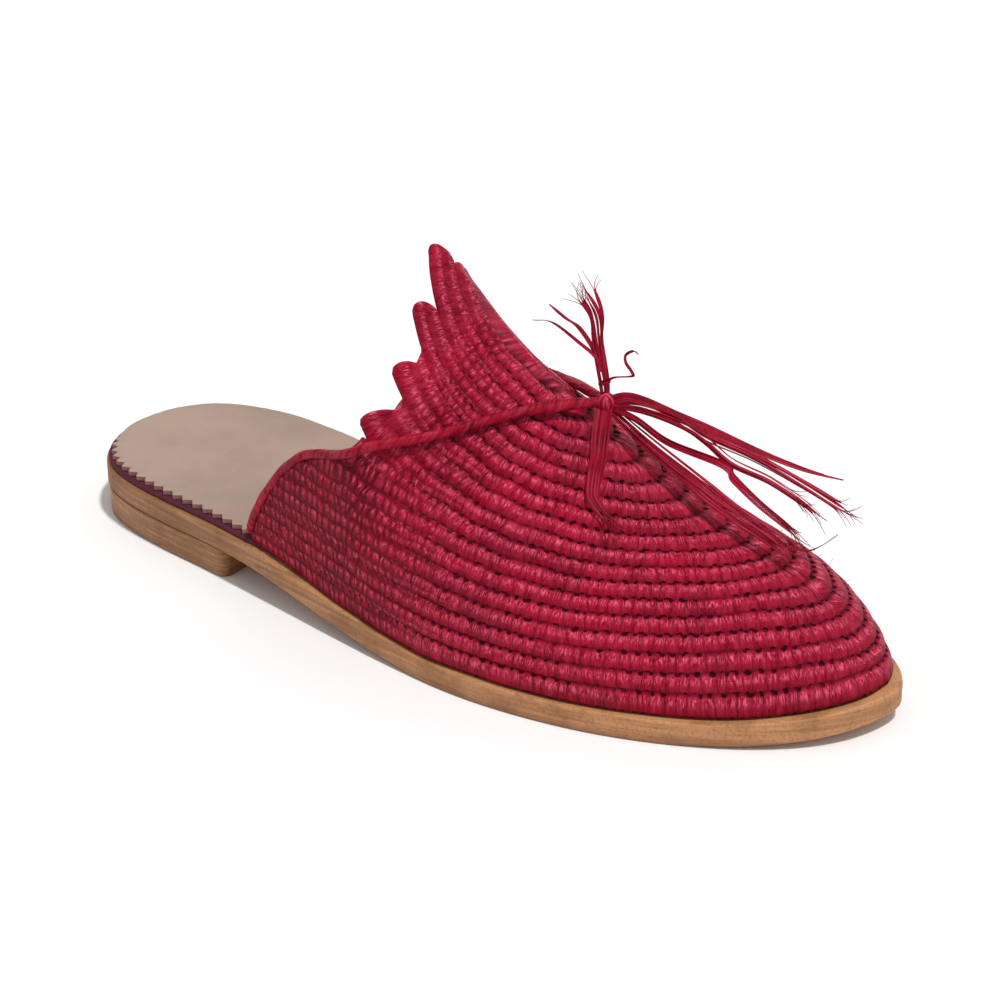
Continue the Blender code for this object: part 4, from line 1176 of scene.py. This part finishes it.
def tube(path, side, width, thick, sides, lobes=0, relief=0.0, turns=0.0):
    """Vertices, faces and UV of a strip or cord carried along a path.

    Its section is an oval, width by thick, whose radius swells by relief times
    cos(lobes angle + turns way), which lays strands round a cord.
    """
    along = unit(np.gradient(path, axis=0))
    side = np.broadcast_to(np.asarray(side, float), path.shape)
    side = unit(side - (side * along).sum(axis=1)[:, None] * along)
    up = np.cross(along, side)
    way = way_along(path)
    angle = (2 * math.pi * np.arange(sides) / sides)[None, :]
    swell = 1 + relief * np.cos(lobes * angle + turns * way[:, None])
    width = np.broadcast_to(width, len(path))[:, None, None]
    thick = np.broadcast_to(thick, len(path))[:, None, None]
    rings = (path[:, None] + side[:, None] * width / 2 * (swell * np.cos(angle))[..., None]
             + up[:, None] * thick / 2 * (swell * np.sin(angle))[..., None])
    faces = grid_faces(len(path), sides, ring=True)
    r, c = np.divmod(np.arange(len(faces)), sides)
    size = float(np.max(width)) * 1.6
    u = way[np.stack([r, r, r + 1, r + 1], axis=-1)]
    v = np.stack([c, c + 1, c + 1, c], axis=-1) / sides * size
    ends = [list(range(sides))[::-1], [(len(path) - 1) * sides + i for i in range(sides)]]
    uv = np.stack([u, v], axis=-1).reshape(-1, 2)
    return rings.reshape(-1, 3), faces, uv, ends


def gather(name, parts, smooth_angle=60.0):
    """One mesh object of many tubes."""
    vertices, faces, uvs, start = [], [], [], 0
    for points, quads, uv, ends in parts:
        vertices.append(points)
        faces += (quads + start).tolist()
        uvs.append(uv)
        for end in ends:
            faces.append([i + start for i in end])
            uvs.append(np.zeros((len(end), 2)))
        start += len(points)
    return make_piece(name, np.vstack(vertices), faces, np.vstack(uvs), smooth_angle)


def cord_parts(inner):
    """Cord of one side, rolled from strips, that broadens and flattens into the knot."""
    rows = [(row[0], 2 - row[3], row[4]) if inner else row[:3] for row in CORDS]
    path, out = off_skin(rows)
    knot = knot_middle()
    towards = path[-1] - knot
    end = knot + towards / np.linalg.norm(towards) * KNOT_SIZE
    path = smooth_path(np.vstack([path, end]), 14)
    out = smooth_path(np.vstack([out, out[-1]]), 14)
    flare = np.interp(np.linspace(0, 1, len(path)), *CORD_FLARE)
    across = np.cross(np.gradient(path, axis=0), out)
    thick = CORD * np.minimum(1.0, max(CORD_FLARE[1]) / flare)
    return tube(path, across, CORD * flare, thick, 28, **CORD_LAY)


def knot_middle():
    """Where the knot sits: over the ridge, in front of the crown."""
    return section_point(np.array([KNOT_STATION * LENGTH]), np.array([1.0]))[0][0] + (0, 0, KNOT_LIFT)


def in_view(table):
    """Points from the knot for rows of distances across the picture, up it and inward.

    Forward and upward follow from what the picture shows: across = right . point, up = up . point.
    """
    across, up, inward = np.array(table, float).T
    forward = (across - VIEW_RIGHT[1] * inward) / VIEW_RIGHT[0]
    upward = (up - VIEW_UP[0] * forward - VIEW_UP[1] * inward) / VIEW_UP[2]
    return np.c_[forward, inward, upward]


def strand(rng, path, side, strips, widths, spread):
    """Flat strips that follow a strand's path side by side, each a little apart, turned and tapered.

    Strip k stands off the path by its place times the width, plus a slow sine wave and a drift that
    grows with the way to the power DRIFT; a strip's last tenth splits into finer fibres.
    """
    made = []
    count = len(path)
    share = np.linspace(0, 1, count)
    broad = np.interp(share, (0, 0.5, 1), widths)
    along = np.gradient(path, axis=0)
    side = unit(np.cross(along, np.cross(side, along)))
    lift = unit(np.cross(side, along))
    several = strips > 1
    for k in range(strips):
        place = (k + 0.5) / strips - 0.5
        wave = np.sin(share * rng.uniform(3, 7) + rng.uniform(0, 6)) * rng.uniform(0.1, 0.35)
        drift = share ** DRIFT * rng.normal(0, spread * 0.5)
        beside = place * broad * 0.85 + (wave * broad * 0.3 + drift) * several
        above = rng.normal(0, STRIP_THICK) + share ** DRIFT * rng.normal(0, spread * 0.5)
        above = above * several * np.minimum(share * 6, 1)
        way = path + side * beside[:, None] + lift * above[:, None]
        stop = count if strips == 1 else max(int(count * rng.uniform(0.86, 1.0)), 4)
        width = broad[:stop] / strips * rng.uniform(1.2, 1.7)
        width = np.maximum(width, 0.55) * np.interp(np.linspace(0, 1, stop), (0, 0.88, 1), (1, 1, 0.45))
        turn = rng.uniform(-0.5, 0.5) + rng.uniform(-1.1, 1.1) * share[:stop]
        flat = side[:stop] * np.cos(turn)[:, None] + lift[:stop] * np.sin(turn)[:, None]
        made.append(tube(way[:stop], flat, width, STRIP_THICK, 8))
        for _ in range(3 if strips > 2 else 0):
            start = int(stop * rng.uniform(0.86, 0.95))
            t = np.linspace(0, 1, HAIR_STEPS)[:, None]
            head, following = way[min(start, count - 2)], way[min(start + 1, count - 1)]
            course = (following - head) / np.linalg.norm(following - head)
            bend = side[0] * rng.normal(0, 0.5) + lift[0] * rng.normal(0, 0.5)
            hair = head + course * t * rng.uniform(4, 8) + bend * t ** 2 * rng.uniform(2, 5)
            made.append(tube(hair, side[0], np.linspace(0.30, 0.12, HAIR_STEPS), 0.12, 5))
    return made


class BABOUCHE_OT_stage(bpy.types.Operator):
    """Floor, lights and the camera at the photograph's angle"""

    bl_idname = "babouche.stage"
    bl_label = "Stage"

    def execute(self, context):
        scene = context.scene
        scene.view_settings.view_transform = "Standard"
        world = bpy.data.worlds.new("studio")
        world.use_nodes = True
        sky = world.node_tree.nodes["Background"]
        sky.inputs["Color"].default_value = (1.0, 1.0, 1.0, 1.0)
        sky.inputs["Strength"].default_value = SKY_STRENGTH
        scene.world = world
        corners = [(x * FLOOR_SIZE, y * FLOOR_SIZE, 0) for x, y in ((-1, -1), (1, -1), (1, 1), (-1, 1))]
        mesh = bpy.data.meshes.new("floor")
        mesh.from_pydata(corners, [], [(0, 1, 2, 3)])
        floor = bpy.data.objects.new("floor", mesh)
        scene.collection.objects.link(floor)
        paper = bpy.data.materials.new("floor_paper")
        paper.use_nodes = True
        shader = paper.node_tree.nodes["Principled BSDF"]
        shader.inputs["Base Color"].default_value = FLOOR_COLOUR
        shader.inputs["Roughness"].default_value = 0.9
        mesh.materials.append(paper)
        target = Vector(CAMERA_TARGET)
        azimuth, elevation = math.radians(CAMERA_AZIMUTH), math.radians(CAMERA_ELEVATION)
        back = Vector((math.sin(azimuth) * math.cos(elevation), -math.cos(azimuth) * math.cos(elevation),
                       math.sin(elevation)))
        right = Vector((math.cos(azimuth), math.sin(azimuth), 0.0))
        up = back.cross(right)
        lens = bpy.data.cameras.new("camera")
        lens.sensor_width = SENSOR
        lens.lens = FOCAL_LENGTH
        lens.clip_start = 0.01
        lens.clip_end = 10.0
        camera = bpy.data.objects.new("camera", lens)
        scene.collection.objects.link(camera)
        turned = Matrix((right, up, back)).transposed().to_4x4()
        camera.matrix_world = Matrix.Translation(target + back * CAMERA_DISTANCE) @ turned
        scene.camera = camera
        sun = bpy.data.lights.new("key", "SUN")
        sun.angle = math.radians(SUN_ANGLE)
        sun.energy = SUN_ENERGY
        lamp = bpy.data.objects.new("key", sun)
        scene.collection.objects.link(lamp)
        place = SUN_PLACE[0] * right + SUN_PLACE[1] * up + SUN_PLACE[2] * back
        lamp.location = target + place
        lamp.rotation_mode = "QUATERNION"
        lamp.rotation_quaternion = place.to_track_quat("Z", "Y")
        return {"FINISHED"}


class BABOUCHE_OT_sole(bpy.types.Operator):
    """Outsole, heel block and rand with rounded, finer edges"""

    bl_idname = "babouche.sole"
    bl_label = "Sole"

    def execute(self, context):
        edge = sole_edge(12)
        layers = []
        for t in np.linspace(0, math.pi / 2, 5):
            ring = moved_in(edge, SOLE_BOTTOM_ROUND * (1 - math.sin(t)))
            height = underside(ring[:, 0]) + SOLE_BOTTOM_ROUND * (1 - math.cos(t))
            layers.append(with_height(ring, height))
        layers.append(with_height(moved_in(edge, 0.06), underside(edge[:, 0]) + OUTSOLE * 0.5))
        for t in np.linspace(0, math.pi / 2, 5):
            ring = moved_in(edge, SOLE_TOP_ROUND * (1 - math.cos(t)))
            height = underside(ring[:, 0]) + OUTSOLE - SOLE_TOP_ROUND * (1 - math.sin(t))
            layers.append(with_height(ring, height))
        finish_piece(layered("outsole_leather", layers), "tan_sole_leather", "sole_leather", "outsole")
        edge = sole_edge(8)
        inward = moved_in(edge, 1.0) - edge
        hidden = smooth_step(edge[:, 0], *RAND_HIDING)[:, None] * RAND_HIDDEN
        low = underside(edge[:, 0]) + OUTSOLE + GAP * SLACK
        layers = [with_height(edge + inward * (RAND_INSET + inset + hidden), low + height)
                  for inset, height in ((0.25, 0.0), (0.0, 0.3), (0.0, RAND), (0.3, RAND + GAP * 0.6))]
        finish_piece(layered("rand_layer", layers), "rand_leather", "dyed_leather", "rand")
        finish_piece(self.heel(), "tan_sole_leather", "sole_leather", "heel_block")
        return {"FINISHED"}

    def heel(self):
        """Heel block: rings of the sole's edge cut at the breast, drawn in towards the floor."""
        edge = sole_edge(12)
        half = len(edge) // 2
        limit = HEEL_BLOCK_LENGTH - BREAST_ROUND
        both = (edge, np.roll(edge[::-1], 1, axis=0))
        count = min(int((side[:half, 0] < limit).sum()) for side in both)
        turn = np.linspace(0, math.pi / 2, 6)
        heights = []
        for t in np.linspace(0, math.pi / 2, 4):
            inset = HEEL_BLOCK_TAPER + HEEL_FOOT_ROUND * (1 - math.sin(t))
            heights.append((inset, HEEL_FOOT_ROUND * (1 - math.cos(t))))
        for share in (0.35, 0.7, 0.93):
            heights.append((HEEL_BLOCK_TAPER * (1 - share) ** 1.2, share * (HEEL_RISE - 0.4)))
        heights += [(0.0, HEEL_RISE - 0.35), (0.35, HEEL_RISE - 0.05)]
        layers = []
        for inset, height in heights:
            moved = moved_in(edge, HEEL_BLOCK_INSET + inset)
            halves = []
            for side in (moved, np.roll(moved[::-1], 1, axis=0)):
                last = side[count - 1]
                reach = HEEL_BLOCK_LENGTH - last[0]
                narrow = last[1] * (1 - BREAST_SHARE)
                corner = np.c_[last[0] + reach * np.sin(turn[1:]), last[1] - narrow * (1 - np.cos(turn[1:]))]
                halves.append(np.vstack([side[:count], corner]))
            ring = np.vstack([halves[0], halves[1][:0:-1]])
            top = underside(ring[:, 0])
            layers.append(with_height(ring, np.minimum(height, top - 0.05) if height > 4 else height))
        return layered("heel_stack", layers)


class BABOUCHE_OT_insole(bpy.types.Operator):
    """Insole with its pinked edge"""

    bl_idname = "babouche.insole"
    bl_label = "Insole"

    def execute(self, context):
        edge = sole_edge(24)
        half = len(edge) // 2
        mirror = np.roll(edge[::-1], 1, axis=0)
        end = OUTER_QUARTER[0][1] * LENGTH - CORD - PINKED_END
        wall_room = UPPER_INSET + WALL + RELIEF
        toe_centre = TOE_CENTRE * LENGTH
        rings = []
        for margin, sharpness in zip(INSOLE_MARGINS, TOOTH_SHARES):
            sides = []
            for ring, turn in ((edge, 1), (mirror, -1)):
                inward = (moved_in(ring, turn) - ring)[:half]
                ring = ring[:half]
                start = int(np.argmax(ring[:, 0] > end))
                length = way_along(ring[:start])
                teeth = int(round(PINKED_SHARE * LENGTH / TOOTH_WIDTH))
                at = np.linspace(0, length[-1], 10 * teeth + 1)
                share = np.interp(at, length, np.arange(start))
                wave = np.abs((at / length[-1] * teeth * 2 + 1) % 2 - 1)
                sharp = sharpness * (smooth_step(at, *TOOTH_START) if turn > 0 else FAR_TEETH)
                depth = INSOLE_INSET + 0.7 + margin + TOOTH_HEIGHT * (wave - 0.5) * sharp
                pinked = np.stack([np.interp(share, np.arange(start), ring[:start, c])
                                   + np.interp(share, np.arange(start), inward[:start, c]) * depth
                                   for c in (0, 1)], axis=1)
                rest = ring[start + 2::4]
                to_middle = np.c_[np.minimum(toe_centre - rest[:, 0], 0), -rest[:, 1]]
                to_middle /= np.linalg.norm(to_middle, axis=1)[:, None]
                nearing = np.clip(rest[:, 0] / LENGTH - TOE_CENTRE, 0, None) / (1 - TOE_CENTRE)
                room = wall_room + TOE_CLEARANCE * np.minimum(2 * nearing, 1) + margin * 0.5
                sides.append(np.vstack([pinked, rest + to_middle * room[:, None]]))
            toe = (LENGTH - wall_room - TOE_CLEARANCE - margin * 0.5, 0)
            count = min(len(side) for side in sides)
            rings.append(np.vstack([sides[0][:count], toe, sides[1][count - 1:0:-1]]))
        low = [foot_line(ring[:, 0]) - GAP * SLACK for ring in rings]
        top = [height + INSOLE + GAP * SLACK for height in low]
        layers = [with_height(rings[2], low[2]), with_height(rings[0], low[0]),
                  with_height(rings[0], top[0] - 0.25), with_height(rings[1], top[1]),
                  with_height(rings[2], top[2])]
        piece = layered("insole_lining", layers, 50.0)
        finish_piece(piece, "lining_leather", "insole_leather", "insole")
        return {"FINISHED"}


class BABOUCHE_OT_upper(bpy.types.Operator):
    """Coiled upper with its rows, crown and rims"""

    bl_idname = "babouche.upper"
    bl_label = "Upper"

    def execute(self, context):
        piece = build_upper(context.scene.babouche_sizes)
        finish_piece(piece, "coiled_raffia", "raffia", "upper")
        return {"FINISHED"}


class BABOUCHE_OT_cords(bpy.types.Operator):
    """Rolled cords of both quarters, up to the knot"""

    bl_idname = "babouche.cords"
    bl_label = "Cords"

    def execute(self, context):
        for node, inner in (("cord_outer", False), ("cord_inner", True)):
            piece = gather(node + "_roll", [cord_parts(inner)], 70.0)
            finish_piece(piece, "cord_raffia", "raffia", node)
        return {"FINISHED"}


class BABOUCHE_OT_tassel(bpy.types.Operator):
    """Knot and the loose strips of its strands"""

    bl_idname = "babouche.tassel"
    bl_label = "Tassel"

    def execute(self, context):
        rng = np.random.default_rng(4)
        more = context.scene.babouche_sizes.strips / STRIPS
        knot = knot_middle()
        parts = []
        for name, (strips, widths, spread, table) in STRANDS.items():
            path = smooth_path(in_view(table) + knot, 12)
            side = VIEW_RIGHT if name in UPWARD_STRANDS else LONG_SIDE
            number = strips if strips == 1 else max(int(round(strips * more)), 2)
            parts += strand(rng, path, side, number, widths, spread)
        path = smooth_path(np.vstack([knot, off_skin(HANGING)[0][1:]]), 10)
        parts += strand(rng, path, HANGING_SIDE, 5, HANGING_WIDTHS, 1.0)
        turn = np.linspace(0, 2 * math.pi, 41)
        for tilt, radius, height in KNOT_TURNS:
            ring = np.c_[radius * np.cos(turn) * math.cos(tilt), radius * np.cos(turn) * math.sin(tilt),
                         radius * np.sin(turn)] + knot + (0, 0, height)
            parts.append(tube(ring, ring - knot, 1.3, 2.0, 12, lobes=4, relief=0.08, turns=1.2))
        neck = np.c_[1.5 * np.cos(turn), 1.5 * np.sin(turn), 5.6 + 0.5 * np.cos(turn)] + knot + (-0.5, 0, 0)
        parts.append(tube(neck, (0, 0, 1), 0.9, 0.5, 10))
        piece = gather("tassel_strips", parts, 70.0)
        finish_piece(piece, "flat_raffia", "raffia", "tassel")
        return {"FINISHED"}


class BABOUCHE_OT_fibres(bpy.types.Operator):
    """Fine loose fibres on the coil"""

    bl_idname = "babouche.fibres"
    bl_label = "Loose fibres"

    def execute(self, context):
        rng = np.random.default_rng(11)
        count = context.scene.babouche_sizes.hairs
        x = rng.uniform(*FIBRE_STATIONS, count) * LENGTH
        climb = rng.uniform(*FIBRE_CLIMB, count)
        roots, out = off_skin(np.stack([x / LENGTH, climb, np.full(count, 0.2)], axis=-1))
        parts = []
        for root, normal in zip(roots, out):
            lean = rng.normal(0, 1.0, 3)
            length = rng.uniform(*FIBRE_LENGTH)
            t = np.linspace(0, 1, 7)[:, None]
            path = root + normal * (t * length * 0.35) + lean * (t ** 1.5 * length * 0.45)
            parts.append(tube(path, (0.3, 0.2, 0.9), 0.10 * np.linspace(1, 0.4, 7), 0.08, 4))
        piece = gather("loose_fibres", parts)
        finish_piece(piece, "flat_raffia", "raffia")
        return {"FINISHED"}


class BABOUCHE_PT_panel(bpy.types.Panel):
    """Sizes, colours and steps of the slipper"""

    bl_idname = "BABOUCHE_PT_panel"
    bl_label = "Raffia babouche"
    bl_space_type = "VIEW_3D"
    bl_region_type = "UI"
    bl_category = "Babouche"

    def draw(self, context):
        for group in (context.scene.babouche_sizes, context.scene.babouche_colours):
            box = self.layout.box()
            for name in group.__annotations__:
                box.prop(group, name)
        for step in STEPS:
            self.layout.operator(step.bl_idname)


STEPS = (
    BABOUCHE_OT_stage,
    BABOUCHE_OT_sole,
    BABOUCHE_OT_insole,
    BABOUCHE_OT_upper,
    BABOUCHE_OT_cords,
    BABOUCHE_OT_tassel,
    BABOUCHE_OT_fibres,
)
CLASSES = (BaboucheSizes, BaboucheColours) + STEPS + (BABOUCHE_PT_panel,)


def register():
    """Add the classes and the scene's settings."""
    for item in CLASSES:
        bpy.utils.register_class(item)
    bpy.types.Scene.babouche_sizes = PointerProperty(type=BaboucheSizes)
    bpy.types.Scene.babouche_colours = PointerProperty(type=BaboucheColours)


def unregister():
    """Take them away again."""
    del bpy.types.Scene.babouche_colours
    del bpy.types.Scene.babouche_sizes
    for item in reversed(CLASSES):
        bpy.utils.unregister_class(item)


def main():
    """Build everything in order."""
    register()
    bpy.ops.babouche.stage()
    bpy.ops.babouche.sole()
    bpy.ops.babouche.insole()
    bpy.ops.babouche.upper()
    bpy.ops.babouche.cords()
    bpy.ops.babouche.tassel()
    bpy.ops.babouche.fibres()


if __name__ == "__main__":
    main()
